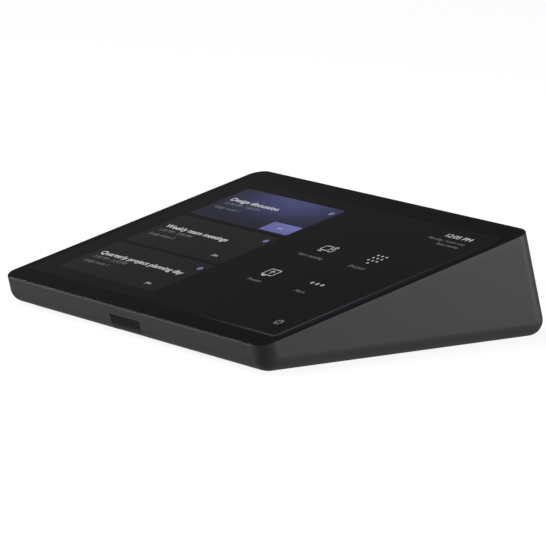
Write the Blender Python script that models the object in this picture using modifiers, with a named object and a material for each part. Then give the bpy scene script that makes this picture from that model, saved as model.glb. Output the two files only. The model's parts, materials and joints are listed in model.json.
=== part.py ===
"""Tabletop touch controller for a meeting room: a wedge-shaped plastic housing
under a full-width glass touch screen, with a motion sensor window in its front
edge, and a cable bay with a hinged cover in its underside.

Metres, +Z up, +X to the user's right, the user sits at -Y. The origin is the
middle of the part's box, on the surface that the rubber feet stand on.

Two empties carry the parts. The underside frame has its origin on the plane of
the underside, below the front top edge: x, y back, z up. The deck frame lies in
the glass: x, y up the slope, z out of the glass, origin at the front top edge.
"""
import math

import bmesh
import bpy
from mathutils import Matrix, Vector

# Overall shape
WIDTH = 0.242
SLOPE_LENGTH = 0.171            # front to back, measured up the glass
TILT = math.radians(14.0)
FRONT_DEPTH = 0.0145            # glass plane to underside at the front, square to the glass
CORNER_RADIUS = 0.009
BASE_FILLET = 0.008
LIP_RADIUS = 0.0006             # rounding of the housing's rim beside the glass
FOOT_PROUD = 0.0012
GAP = 0.0003                    # clearance between pieces that touch in life
PAST = 0.001                    # how far a cutter, or a joined piece, runs past a surface

# Housing
WALL = 0.0022
FLOOR = 0.0046                  # housing's underside, thick enough to seat the base plate
CAVITY_RISE = 0.006             # how far the cavity's cutter stands over the glass plane
LEDGE_DEPTH = 0.0020            # below the glass plane, where the glass is bonded
LIP_WIDTH = 0.0007
BOSS_RADIUS = 0.0036
BOSS_TOP = 0.0105
BORE = 0.0017
SHANK = 0.0014
LOCK_X = 0.085                  # security slot in the back wall, in the deck frame
LOCK_DROP = 0.030
LOCK_WIDTH = 0.007
LOCK_HEIGHT = 0.003
LOCK_PLATE = (0.016, 0.0015, 0.008)

# Sensor window, in the deck frame
WINDOW_LEFT = -0.0165
WINDOW_RIGHT = 0.0105
WINDOW_TOP = -0.0046
WINDOW_BACK = 0.0052
WINDOW_SKIN = 0.0015
WINDOW_SINK = 0.00012           # the window's face inside the housing's
WINDOW_REACH = 0.020            # how far its outline's cutter reaches down
SENSOR_X = (WINDOW_LEFT + WINDOW_RIGHT) / 2
SENSOR_RADIUS = 0.0026
SENSOR_LENGTH = 0.0034
SENSOR_Y = 0.0026
SENSOR_Z = -0.0076
SENSOR_BOARD = (0.022, 0.0010, 0.0056)

# Display stack, in the deck frame; a layer is width, depth, corner radius, thickness, bottom
GLASS_THICKNESS = 0.0011
SCREEN_MIDDLE = 0.08455         # of the lit area, up the slope
ADHESIVE_OUTER = 0.0011         # inset of the adhesive ring's two sides
ADHESIVE_INNER = 0.0021
ADHESIVE_THICKNESS = 0.0004
ADHESIVE_BOTTOM = -0.0018
LCD_CELL = (0.232, 0.148, 0.0010, 0.0015, -0.0029)
BACKLIGHT = (0.233, 0.150, 0.0015, 0.0027, -0.0059)
BRACKET = (0.235, 0.152, 0.0030, 0.0012, -0.0074)
DISPLAY_SCREWS = ((-0.114, 0.030), (0.114, 0.030), (-0.114, 0.140), (0.114, 0.140))
DISPLAY_SCREW_LENGTH = 0.0045
RIB_TOP = BRACKET[4] - GAP
RIB_THICKNESS = 0.0030
RIB_INNER = 0.1105
RIB_HALF_LENGTH = 0.005
TOUCH_BOARD = ((-0.058, 0.062, -0.0090), (-0.038, 0.076, -0.0078))
TOUCH_CHIP = ((-0.052, 0.065, -0.0098), (-0.044, 0.073, -0.0088))

# Flexible cables: low x, high x, and the route's y and z, in the underside frame
FLEX_THICKNESS = 0.0003
SENSOR_FLEX = (SENSOR_X - 0.003, SENSOR_X + 0.003,
               ((0.0105, 0.0066), (0.0125, 0.0060), (0.0200, 0.0056), (0.0400, 0.0056),
                (0.0455, 0.0065), (0.0482, 0.0090), (0.0488, 0.0112), (0.0510, 0.0123), (0.0560, 0.0123)))
TOUCH_FLEX = (-0.052, -0.044,
              ((0.0700, 0.0208), (0.0722, 0.0196), (0.0728, 0.0166), (0.0750, 0.0144), (0.0815, 0.0136)))
DISPLAY_FLEX = (-0.030, 0.000,
                ((0.0690, 0.0226), (0.0715, 0.0200), (0.0722, 0.0165), (0.0745, 0.0144), (0.0820, 0.0136)))

# Base plate, in the underside frame
PLATE_WIDTH = 0.222
PLATE_FRONT = 0.0145
PLATE_BACK = 0.1675
PLATE_THICKNESS = 0.0025
PLATE_RADIUS = 0.008
PLATE_OVERLAP = 0.0102
OPENING_RADIUS = 0.006
BASE_SCREWS = tuple((side * 0.106, y) for y in (0.032, 0.091, 0.150) for side in (-1, 1))
BASE_SCREW_LENGTH = 0.0070
COUNTERBORE_RADIUS = 0.0030
COUNTERBORE_DEPTH = 0.0014
HEAD_UNDER = 0.0011             # the underside of a base screw's head
FEET = {"front_left": (-0.080, 0.029), "front_right": (0.080, 0.029),
        "back_left": (-0.080, 0.153), "back_right": (0.080, 0.153)}
FOOT_SIZE = (0.026, 0.010)
FOOT_SINK = 0.0010
FOOT_EDGE = 0.0004
MOUNT_INSERTS = tuple((side * 0.0375, y) for y in (0.032, 0.076) for side in (-1, 1))
MOUNT_BOSS_RADIUS = 0.0046
MOUNT_BOSS_TOP = 0.0082
INSERT_RADIUS = 0.0027
INSERT_BORE = 0.00165           # an M4 thread's core
INSERT_BOTTOM = 0.0002
INSERT_TOP = 0.0066
VENT_SIZE = (0.002, 0.018)
VENT_COUNT = 7
VENT_PITCH = 0.006
VENT_Y = 0.062
VENT_RADIUS = 0.0009
BALLAST = (0.061, 0.042, 0.099, 0.140)      # low x, low y, high x, high y of the right one
BALLAST_THICKNESS = 0.005
BALLAST_RADIUS = 0.003
BALLAST_X = (BALLAST[0] + BALLAST[2]) / 2
BALLAST_SCREW_LENGTH = 0.0068
BALLAST_BORE = 0.0008           # the blind end of its bore in the plate

# Cable bay, in the underside frame
BAY_HALF_WIDTH = 0.0452
BAY_FRONT = 0.100
BAY_BACK = 0.160
BAY_ROOF = 0.0237
BAY_WALL = 0.0018
PAD_HALF_WIDTH = 0.0530
PAD_FRONT = 0.084
PAD_BACK = 0.1665
PAD_TOP = 0.0054
OUTLET_HALF_WIDTH = 0.014
OUTLET_FRONT = 0.154
OUTLET_BACK = 0.186
OUTLET_TOP = 0.012

# Cable cover and its captive screw, in the underside frame
COVER_HALF_WIDTH = 0.0482
COVER_FRONT = 0.0863
COVER_BOTTOM = 0.0002
COVER_TOP = 0.0028
COVER_RADIUS = 0.0012
HINGE_Y = 0.162
HINGE_Z = (COVER_BOTTOM + COVER_TOP) / 2
HINGE_RADIUS = 0.00128
PIN_RADIUS = 0.0008
PIN_LENGTH = 0.0015
PIN_SOCKET_LENGTH = 0.0024
COVER_VENT_SIZE = (0.002, 0.020)
COVER_VENT_COUNT = 9
COVER_VENT_PITCH = 0.008
COVER_VENT_Y = -0.030           # from the hinge
COVER_SCREW_Y = 0.092
COVER_SCREW_Z = 0.0014          # the underside of its head
COVER_SCREW_HEAD = 0.0044
COVER_SCREW_HEAD_HEIGHT = 0.0011
COVER_SCREW_LENGTH = 0.0056
COVER_SCREW_BOSS = (0.0056, 0.0084)         # radius and top
COVER_SCREW_BORE = (0.0026, 0.0076)

# Cable clamp, in the underside frame
CLAMP_SIZE = (0.046, 0.008)
CLAMP_RADIUS = 0.003
CLAMP_Y = 0.150
CLAMP_SCREW_X = 0.019
CLAMP_SCREW_LENGTH = 0.0085
CLAMP_POST_RADIUS = 0.0032
CLAMP_BORE_TOP = 0.0195
CLAMP_TOP = 0.0130
CLAMP_THICKNESS = 0.0030

# Electronics, in the underside frame
BOARD_BOTTOM = 0.0087
BOARD_THICKNESS = 0.0016
BOARD_TOP = BOARD_BOTTOM + BOARD_THICKNESS
BOARD_HALF_WIDTH = 0.060
BOARD_FRONT = 0.050
BOARD_BACK = 0.0965
BOARD_RADIUS = 0.002
BOARD_SCREWS = tuple((side * 0.054, y) for y in (0.056, 0.090) for side in (-1, 1))
BOARD_SCREW_LENGTH = 0.0062
BOARD_POST_RADIUS = 0.0030
BOARD_POST_BORE = 0.0040        # the blind end of its bore
CHIPS = {                       # low x, low y, high x, high y, and height over the board
    "display_connector": (-0.032, 0.077, 0.002, 0.082, 0.0028),
    "touch_connector": (-0.053, 0.0775, -0.043, 0.082, 0.0028),
    "sensor_connector": (SENSOR_X - 0.004, 0.0525, SENSOR_X + 0.004, 0.057, 0.0017),
    "memory_chip": (-0.030, 0.060, -0.016, 0.070, 0.0012),
    "power_choke": (0.0490, 0.064, 0.0565, 0.072, 0.0040),
}
SHIELD = (0.008, 0.055, 0.044, 0.079)       # low x, low y, high x, high y
SHIELD_HEIGHT = 0.0026
SHIELD_SKIN = 0.0004
SPREADER = (0.044, 0.029, 0.002, 0.0016)    # width, depth, corner radius, thickness
SOCKET_FRONT = 0.086
SOCKET_FACE = BAY_FRONT + 0.0004
SOCKET_DEPTH = 0.0075
SOCKETS = {                     # middle, width, height, and the size of the mouth
    "data_socket": (-0.034, 0.0092, 0.0034, (0.0082, 0.0024)),
    "video_socket": (-0.010, 0.0150, 0.0060, (0.0136, 0.0046)),
    "power_socket": (0.028, 0.0094, 0.0090, (0.0060, 0.0060)),
}
SOCKET_PIN_RADIUS = 0.0010
TONGUE_SHARE = 0.7              # of the mouth's width
TONGUE_THICKNESS = 0.0008

COS = math.cos(TILT)
SIN = math.sin(TILT)
FRONT_EDGE_HEIGHT = FRONT_DEPTH * COS       # above the underside
FILLET_END = SLOPE_LENGTH - BASE_FILLET     # the back fillet's axis, up the slope
FILLET_DROP = (FRONT_EDGE_HEIGHT + FILLET_END * SIN - BASE_FILLET) / COS
PLAN_BACK = FILLET_END * COS + FILLET_DROP * SIN + BASE_FILLET
PLAN_FRONT = LIP_RADIUS * (COS + SIN - 1)
PLAN_MIDDLE = (PLAN_FRONT + PLAN_BACK) / 2
PLATE_MIDDLE = (PLATE_FRONT + PLATE_BACK) / 2

CHORD = 0.001                   # an outline's corner has one step for each chord of radius
ARC_STEPS = 8                   # per quarter turn, on the largest corners
FILLET_STEPS = 6
TURN_STEPS = 12                 # sides of a small rod, bore or turned piece
WIDE_TURN_STEPS = 24            # sides of one over 4 mm in radius

parts = None
cutters = None
frames = {}
materials = {}


def start_scene():
    """Empty the scene, and make the two collections and the two frames."""
    global parts, cutters
    for old in list(bpy.data.objects):
        bpy.data.objects.remove(old)
    parts = bpy.data.collections.new("room_touch_controller")
    cutters = bpy.data.collections.new("cutters")
    for collection in (parts, cutters):
        bpy.context.scene.collection.children.link(collection)
    underside = Matrix.Translation((0, -PLAN_MIDDLE, FOOT_PROUD))
    deck = underside @ Matrix.Translation((0, 0, FRONT_EDGE_HEIGHT)) @ Matrix.Rotation(TILT, 4, "X")
    for name, matrix in (("underside_frame", underside), ("deck_frame", deck)):
        add_empty(name, matrix)


def add_empty(name, matrix):
    """Add an empty that other objects are placed from."""
    empty = bpy.data.objects.new(name, None)
    empty.matrix_world = matrix
    empty.empty_display_size = 0.02
    parts.objects.link(empty)
    frames[name] = empty
    return empty


def make_material(name, colour, roughness, metallic=0.0):
    """Make a Principled material and keep it under its name."""
    made = bpy.data.materials.new(name)
    made.use_nodes = True
    shader = made.node_tree.nodes["Principled BSDF"]
    shader.inputs["Base Color"].default_value = (*colour, 1.0)
    shader.inputs["Roughness"].default_value = roughness
    shader.inputs["Metallic"].default_value = metallic
    made.diffuse_color = (*colour, 1.0)
    materials[name] = made


def place(name, mesh, frame, location, material):
    """Link a mesh as a part, or as a hidden cutter where it has no material."""
    piece = bpy.data.objects.new(name, mesh)
    if material is None:
        piece.hide_render = True
        piece.display_type = "WIRE"
        cutters.objects.link(piece)
    else:
        mesh.materials.append(materials[material])
        parts.objects.link(piece)
    piece.parent = frames[frame]
    piece.location = location
    return piece


def mesh_from(bm, name):
    """Turn a bmesh into a mesh with sharp edges over 35 degrees."""
    bmesh.ops.recalc_face_normals(bm, faces=bm.faces)
    mesh = bpy.data.meshes.new(name)
    bm.to_mesh(mesh)
    bm.free()
    mesh.shade_smooth()
    mesh.set_sharp_from_angle(angle=math.radians(35))
    return mesh


def block(name, low, high, frame="underside_frame", material=None):
    """A box between two corners of a frame."""
    low, high = Vector(low), Vector(high)
    bm = bmesh.new()
    bmesh.ops.create_cube(bm, size=1.0, matrix=Matrix.Diagonal((*(high - low), 1.0)))
    return place(name, mesh_from(bm, name), frame, (low + high) / 2, material)


def turn_steps(radius):
    """Sides of a round piece of a radius."""
    return WIDE_TURN_STEPS if radius > 0.004 else TURN_STEPS


def rod(name, radius, start, length, axis="Z", frame="underside_frame", material=None):
    """A cylinder from a start point, along +X, +Y or +Z of a frame."""
    turn = {"X": Matrix.Rotation(math.pi / 2, 4, "Y"), "Y": Matrix.Rotation(-math.pi / 2, 4, "X"),
            "Z": Matrix.Identity(4)}[axis]
    bm = bmesh.new()
    lift = Matrix.Translation((0, 0, length / 2))
    bmesh.ops.create_cone(bm, cap_ends=True, segments=turn_steps(radius), radius1=radius,
                          radius2=radius, depth=length, matrix=turn @ lift)
    return place(name, mesh_from(bm, name), frame, start, material)


def bore(name, spot, bottom, top, radius=BORE, frame="underside_frame"):
    """A round cutter, or a round post to join, at a spot between two heights."""
    return rod(name, radius, (*spot, bottom), top - bottom, frame=frame)


def corner_outline(width, depth, radius):
    """Points of a rounded rectangle about the origin, each with its outward normal."""
    points = []
    centres = ((1, 1), (-1, 1), (-1, -1), (1, -1))
    steps = max(2, min(ARC_STEPS, math.ceil(radius / CHORD)))
    for quarter, (side, end) in enumerate(centres):
        middle = Vector((side * (width / 2 - radius), end * (depth / 2 - radius)))
        for step in range(steps + 1):
            angle = (quarter + step / steps) * math.pi / 2
            normal = Vector((math.cos(angle), math.sin(angle)))
            points.append((middle + radius * normal, normal))
    return points


def flat_shape(name, outline, thickness, frame, location, material, turn=None):
    """A flat outline, a filled 2D curve, extruded upwards by its thickness and made a mesh."""
    curve = bpy.data.curves.new(name, "CURVE")
    curve.dimensions = "2D"
    curve.fill_mode = "BOTH"
    curve.extrude = thickness / 2
    spline = curve.splines.new("POLY")
    spline.points.add(len(outline) - 1)
    for point, (x, y) in zip(spline.points, outline):
        point.co = (x, y, 0, 1)
    spline.use_cyclic_u = True
    shape = bpy.data.objects.new(name + "_outline", curve)
    bpy.context.scene.collection.objects.link(shape)
    shape.matrix_world = Matrix.Translation((0, 0, thickness / 2))
    bpy.context.view_layer.update()
    evaluated = shape.evaluated_get(bpy.context.evaluated_depsgraph_get())
    mesh = bpy.data.meshes.new_from_object(evaluated)
    mesh.transform((turn or Matrix.Identity(4)) @ shape.matrix_world)
    bpy.data.objects.remove(shape)
    bm = bmesh.new()
    bm.from_mesh(mesh)
    bmesh.ops.remove_doubles(bm, verts=bm.verts, dist=1e-6)
    return place(name, mesh_from(bm, name), frame, location, material)


def plate(name, size, radius, thickness, location, frame="underside_frame", material=None):
    """A rounded rectangle that stands on its location and is extruded upwards."""
    outline = [point for point, normal in corner_outline(*size, radius)]
    return flat_shape(name, outline, thickness, frame, location, material)


def ribbon(name, left, right, route):
    """A flat flexible cable between two x values, along a route of y and z points.

    Its second side is the route moved by the thickness along the normals. At a
    bend the normal is the mean of its two runs', lengthened so that the
    thickness stays the same along both.
    """
    points = [Vector(point) for point in route]
    runs = [(after - before).normalized() for before, after in zip(points, points[1:])]
    normals = [Vector((-run.y, run.x)) for run in runs]
    joined = [normals[0]]
    for first, second in zip(normals, normals[1:]):
        middle = (first + second).normalized()
        joined.append(middle / middle.dot(first))
    joined.append(normals[-1])
    upper = [point + normal * FLEX_THICKNESS for point, normal in zip(points, joined)]
    stand_up = Matrix(((0, 0, 1, 0), (1, 0, 0, 0), (0, 1, 0, 0), (0, 0, 0, 1)))
    return flat_shape(name, points + upper[::-1], right - left, "underside_frame", (left, 0, 0),
                      "flex_film", stand_up)


def turned(name, profile, location, material, frame="underside_frame", flip=False):
    """A turned piece: radius and height points, run down the outer side, and a Screw modifier."""
    mesh = bpy.data.meshes.new(name)
    points = [(radius, 0, height) for radius, height in profile]
    mesh.from_pydata(points, [(i, i + 1) for i in range(len(points) - 1)], [])
    piece = place(name, mesh, frame, location, material)
    if flip:
        piece.rotation_euler = (math.pi, 0, 0)
    spin = piece.modifiers.new("spin", "SCREW")
    spin.steps = turn_steps(max(radius for radius, height in profile))
    spin.render_steps = spin.steps
    spin.use_merge_vertices = True
    spin.merge_threshold = 0.00001
    return piece


def screw(name, location, length, material="screw_steel", frame="underside_frame", flip=False,
          head_radius=0.0026, head_height=0.0010):
    """A pan head screw with a round drive recess; its location is under the head."""
    recess = 0.4 * head_radius
    profile = [(0, 0.4 * head_height), (recess, 0.4 * head_height), (recess, head_height),
               (0.8 * head_radius, head_height), (head_radius, 0.6 * head_height), (head_radius, 0),
               (SHANK, 0), (SHANK, -0.85 * length), (0.6 * SHANK, -length), (0, -length)]
    return turned(name, profile, location, material, frame, flip)


def boolean(target, operation, tools):
    """Add one exact Boolean modifier for each tool."""
    for tool in tools:
        if tool.name not in cutters.objects:
            raise ValueError(tool.name + " is not a cutter")
        step = target.modifiers.new(operation.lower(), "BOOLEAN")
        step.operation = operation
        step.solver = "EXACT"
        step.object = tool


def cut(target, *tools):
    """Cut tools out of a target."""
    boolean(target, "DIFFERENCE", tools)


def fuse(target, *tools):
    """Join tools to a target."""
    boolean(target, "UNION", tools)


def wedge(name, inset, floor, rise=0.0, lip=0.0, material=None):
    """The housing's wedge, drawn in by an inset and closed at top and bottom.

    Its sides run square to the glass, down from the outline in the deck. Each
    meets the underside in the fillet that a rolling ball leaves: the ball's
    middle follows the outline drawn in by the ball's radius, and a fillet point
    turns about it from the side's normal down to -Z.
    """
    ball = BASE_FILLET - inset
    outline = corner_outline(WIDTH - 2 * inset, SLOPE_LENGTH - 2 * inset, CORNER_RADIUS - inset)
    rings = []
    if lip:
        for step in range(3):
            turn = (1 - step / 3) * math.pi / 2
            rings.append([deck_point(point - normal * lip * (1 - math.cos(turn)),
                                     -lip * (1 - math.sin(turn))) for point, normal in outline])
    rings.append([deck_point(point, rise - lip) for point, normal in outline])
    for step in range(FILLET_STEPS + 1):
        share = step / FILLET_STEPS
        rings.append([fillet_point(point, normal, floor, ball, share) for point, normal in outline])
    bm = bmesh.new()
    loops = [[bm.verts.new(point) for point in ring] for ring in rings]
    for upper, lower in zip(loops, loops[1:]):
        for i in range(len(upper)):
            bm.faces.new((upper[i - 1], upper[i], lower[i], lower[i - 1]))
    bm.faces.new(loops[0])
    bm.faces.new(loops[-1])
    return place(name, mesh_from(bm, name), "underside_frame", (0, 0, 0), material)


def deck_point(point, height):
    """A point of the deck's outline, at a height out of the glass, in the underside frame."""
    slope = point.y + SLOPE_LENGTH / 2
    return Vector((point.x, slope * COS - height * SIN,
                   FRONT_EDGE_HEIGHT + slope * SIN + height * COS))


def fillet_point(point, normal, floor, ball, share):
    """A point of the base fillet, from the side wall at share 0 to the underside at share 1."""
    surface = deck_point(point - normal * ball, 0)
    drop = (surface.z - floor - ball) / COS
    middle = deck_point(point - normal * ball, -drop)
    outward = Vector((normal.x, normal.y * COS, normal.y * SIN))
    down = Vector((0, 0, -1))
    whole = outward.angle(down)
    ray = (outward * math.sin((1 - share) * whole) + down * math.sin(share * whole)) / math.sin(whole)
    return middle + ray * ball


def build_materials():
    """Every material, by the record's slot names."""
    make_material("housing_plastic", (0.055, 0.055, 0.060), 0.55)
    make_material("glass_black", (0.006, 0.006, 0.007), 0.06)
    make_material("window_plastic", (0.018, 0.018, 0.020), 0.35)
    make_material("base_plastic", (0.030, 0.030, 0.032), 0.60)
    make_material("foot_rubber", (0.015, 0.015, 0.015), 0.85)
    make_material("screw_steel", (0.35, 0.35, 0.36), 0.35, 1.0)
    make_material("sheet_steel", (0.50, 0.50, 0.50), 0.40, 1.0)
    make_material("ballast_iron", (0.20, 0.20, 0.20), 0.60, 1.0)
    make_material("heat_aluminium", (0.75, 0.75, 0.76), 0.35, 1.0)
    make_material("insert_brass", (0.70, 0.50, 0.22), 0.35, 1.0)
    make_material("board_laminate", (0.02, 0.10, 0.05), 0.45)
    make_material("flex_film", (0.35, 0.18, 0.04), 0.40)
    make_material("backlight_plastic", (0.60, 0.60, 0.60), 0.40)
    make_material("adhesive_foam", (0.02, 0.02, 0.02), 0.90)
    make_material("panel_film", (0.04, 0.04, 0.05), 0.30)
    make_material("socket_metal", (0.55, 0.55, 0.56), 0.30, 1.0)
    make_material("socket_plastic", (0.02, 0.02, 0.02), 0.50)
    make_material("sensor_metal", (0.60, 0.60, 0.58), 0.35, 1.0)


def build_housing():
    """The outer shell: side walls, rim, underside flange, screw bosses and display ribs."""
    shell = wedge("housing_shell", 0, 0, lip=LIP_RADIUS, material="housing_plastic")
    cut(shell, wedge("housing_cavity", WALL, FLOOR, rise=CAVITY_RISE))
    recess_size = (WIDTH - 2 * LIP_WIDTH, SLOPE_LENGTH - 2 * LIP_WIDTH)
    cut(shell, plate("glass_recess", recess_size, CORNER_RADIUS - LIP_WIDTH, CAVITY_RISE,
                     (0, SLOPE_LENGTH / 2, -LEDGE_DEPTH), "deck_frame"))
    for index, spot in enumerate(BASE_SCREWS, 1):
        fuse(shell, bore(f"base_boss_{index}", spot, FLOOR - PAST, BOSS_TOP, BOSS_RADIUS))
    for index, spot in enumerate(DISPLAY_SCREWS, 1):
        add_display_rib(shell, index, spot)
    plate_depth = PLATE_BACK - PLATE_FRONT
    cut(shell, plate("base_rebate", (PLATE_WIDTH + 2 * GAP, plate_depth + 2 * GAP), PLATE_RADIUS,
                     PLATE_THICKNESS + GAP + PAST, (0, PLATE_MIDDLE, -PAST)))
    opening = (PLATE_WIDTH - 2 * PLATE_OVERLAP, plate_depth - 2 * PLATE_OVERLAP)
    cut(shell, plate("base_opening", opening, OPENING_RADIUS, FLOOR + 3 * PAST, (0, PLATE_MIDDLE, -PAST)))
    cut(shell, block("pad_clearance", (-PAD_HALF_WIDTH - GAP, PLATE_MIDDLE, -PAST),
                     (PAD_HALF_WIDTH + GAP, PAD_BACK + GAP, FLOOR + PAST)))
    for index, spot in enumerate(BASE_SCREWS, 1):
        cut(shell, bore(f"base_boss_bore_{index}", spot, PAST, BOSS_TOP - PAST))
    cut(shell, block("window_notch", (WINDOW_LEFT - GAP, -3 * PAST, -WINDOW_REACH),
                     (WINDOW_RIGHT + GAP, WINDOW_BACK + GAP, WINDOW_TOP + GAP), "deck_frame"))
    cut(shell, block("outlet_notch", (-OUTLET_HALF_WIDTH, OUTLET_FRONT, -PAST),
                     (OUTLET_HALF_WIDTH, OUTLET_BACK, OUTLET_TOP)))
    cut(shell, lock_opening("lock_slot"))


def add_display_rib(shell, index, spot):
    """A rib on a side wall that takes one of the display bracket's screws."""
    side = math.copysign(1, spot[0])
    low_x, high_x = sorted((side * RIB_INNER, side * (WIDTH / 2 - WALL / 2)))
    fuse(shell, block(f"display_rib_{index}", (low_x, spot[1] - RIB_HALF_LENGTH, RIB_TOP - RIB_THICKNESS),
                      (high_x, spot[1] + RIB_HALF_LENGTH, RIB_TOP), "deck_frame"))
    cut(shell, bore(f"display_rib_bore_{index}", spot, RIB_TOP - RIB_THICKNESS - PAST, RIB_TOP + PAST,
                    frame="deck_frame"))


def lock_opening(name):
    """The security slot's cutter, through the back wall and the plate behind it."""
    return block(name, (LOCK_X - LOCK_WIDTH / 2, SLOPE_LENGTH - 6 * PAST, -LOCK_DROP - LOCK_HEIGHT / 2),
                 (LOCK_X + LOCK_WIDTH / 2, SLOPE_LENGTH + PAST, -LOCK_DROP + LOCK_HEIGHT / 2), "deck_frame")


def build_sensor():
    """The motion sensor behind the front edge, and the dark window that covers it."""
    window = wedge("sensor_window", WINDOW_SINK, WINDOW_SINK, material="window_plastic")
    trim = block("window_outline", (WINDOW_LEFT, -3 * PAST, -WINDOW_REACH),
                 (WINDOW_RIGHT, WINDOW_BACK, WINDOW_TOP), "deck_frame")
    boolean(window, "INTERSECT", [trim])
    cut(window, wedge("window_inside", WINDOW_SKIN, WINDOW_SKIN, rise=CAVITY_RISE))
    rod("motion_sensor", SENSOR_RADIUS, (SENSOR_X, SENSOR_Y, SENSOR_Z), SENSOR_LENGTH, "Y", "deck_frame",
        "sensor_metal")
    width, thickness, height = SENSOR_BOARD
    front = SENSOR_Y + SENSOR_LENGTH + GAP
    block("sensor_board", (SENSOR_X - width / 2, front, SENSOR_Z - height / 2),
          (SENSOR_X + width / 2, front + thickness, SENSOR_Z + height / 2), "deck_frame", "board_laminate")
    ribbon("sensor_flex", *SENSOR_FLEX)


def build_display():
    """The glass, the panel behind it, the steel bracket and its screws."""
    middle = SLOPE_LENGTH / 2
    inset = LIP_WIDTH + GAP
    plate("touch_glass", (WIDTH - 2 * inset, SLOPE_LENGTH - 2 * inset), CORNER_RADIUS - inset,
          GLASS_THICKNESS, (0, middle, -GLASS_THICKNESS), "deck_frame", "glass_black")
    ring = inset_plate("glass_adhesive", ADHESIVE_OUTER, ADHESIVE_THICKNESS, ADHESIVE_BOTTOM, "adhesive_foam")
    cut(ring, inset_plate("adhesive_inside", ADHESIVE_INNER, ADHESIVE_THICKNESS + 2 * PAST,
                          ADHESIVE_BOTTOM - PAST))
    for name, layer, material in (("lcd_cell", LCD_CELL, "panel_film"),
                                  ("backlight_unit", BACKLIGHT, "backlight_plastic"),
                                  ("display_bracket", BRACKET, "sheet_steel")):
        width, depth, radius, thickness, bottom = layer
        made = plate(name, (width, depth), radius, thickness, (0, SCREEN_MIDDLE, bottom), "deck_frame",
                     material)
    for index, spot in enumerate(DISPLAY_SCREWS, 1):
        cut(made, bore(f"bracket_bore_{index}", spot, bottom - PAST, bottom + thickness + PAST,
                       frame="deck_frame"))
        screw(f"display_screw_{index}", (*spot, RIB_TOP - RIB_THICKNESS - GAP), DISPLAY_SCREW_LENGTH,
              frame="deck_frame", flip=True)
    board = block("touch_board", *TOUCH_BOARD, "deck_frame", "board_laminate")
    fuse(board, block("touch_chip", *TOUCH_CHIP, "deck_frame"))
    ribbon("touch_flex", *TOUCH_FLEX)
    ribbon("display_flex", *DISPLAY_FLEX)


def inset_plate(name, inset, thickness, bottom, material=None):
    """A plate with the deck's outline, drawn in by an inset."""
    size = (WIDTH - 2 * inset, SLOPE_LENGTH - 2 * inset)
    return plate(name, size, CORNER_RADIUS - inset, thickness, (0, SLOPE_LENGTH / 2, bottom), "deck_frame",
                 material)


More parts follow.
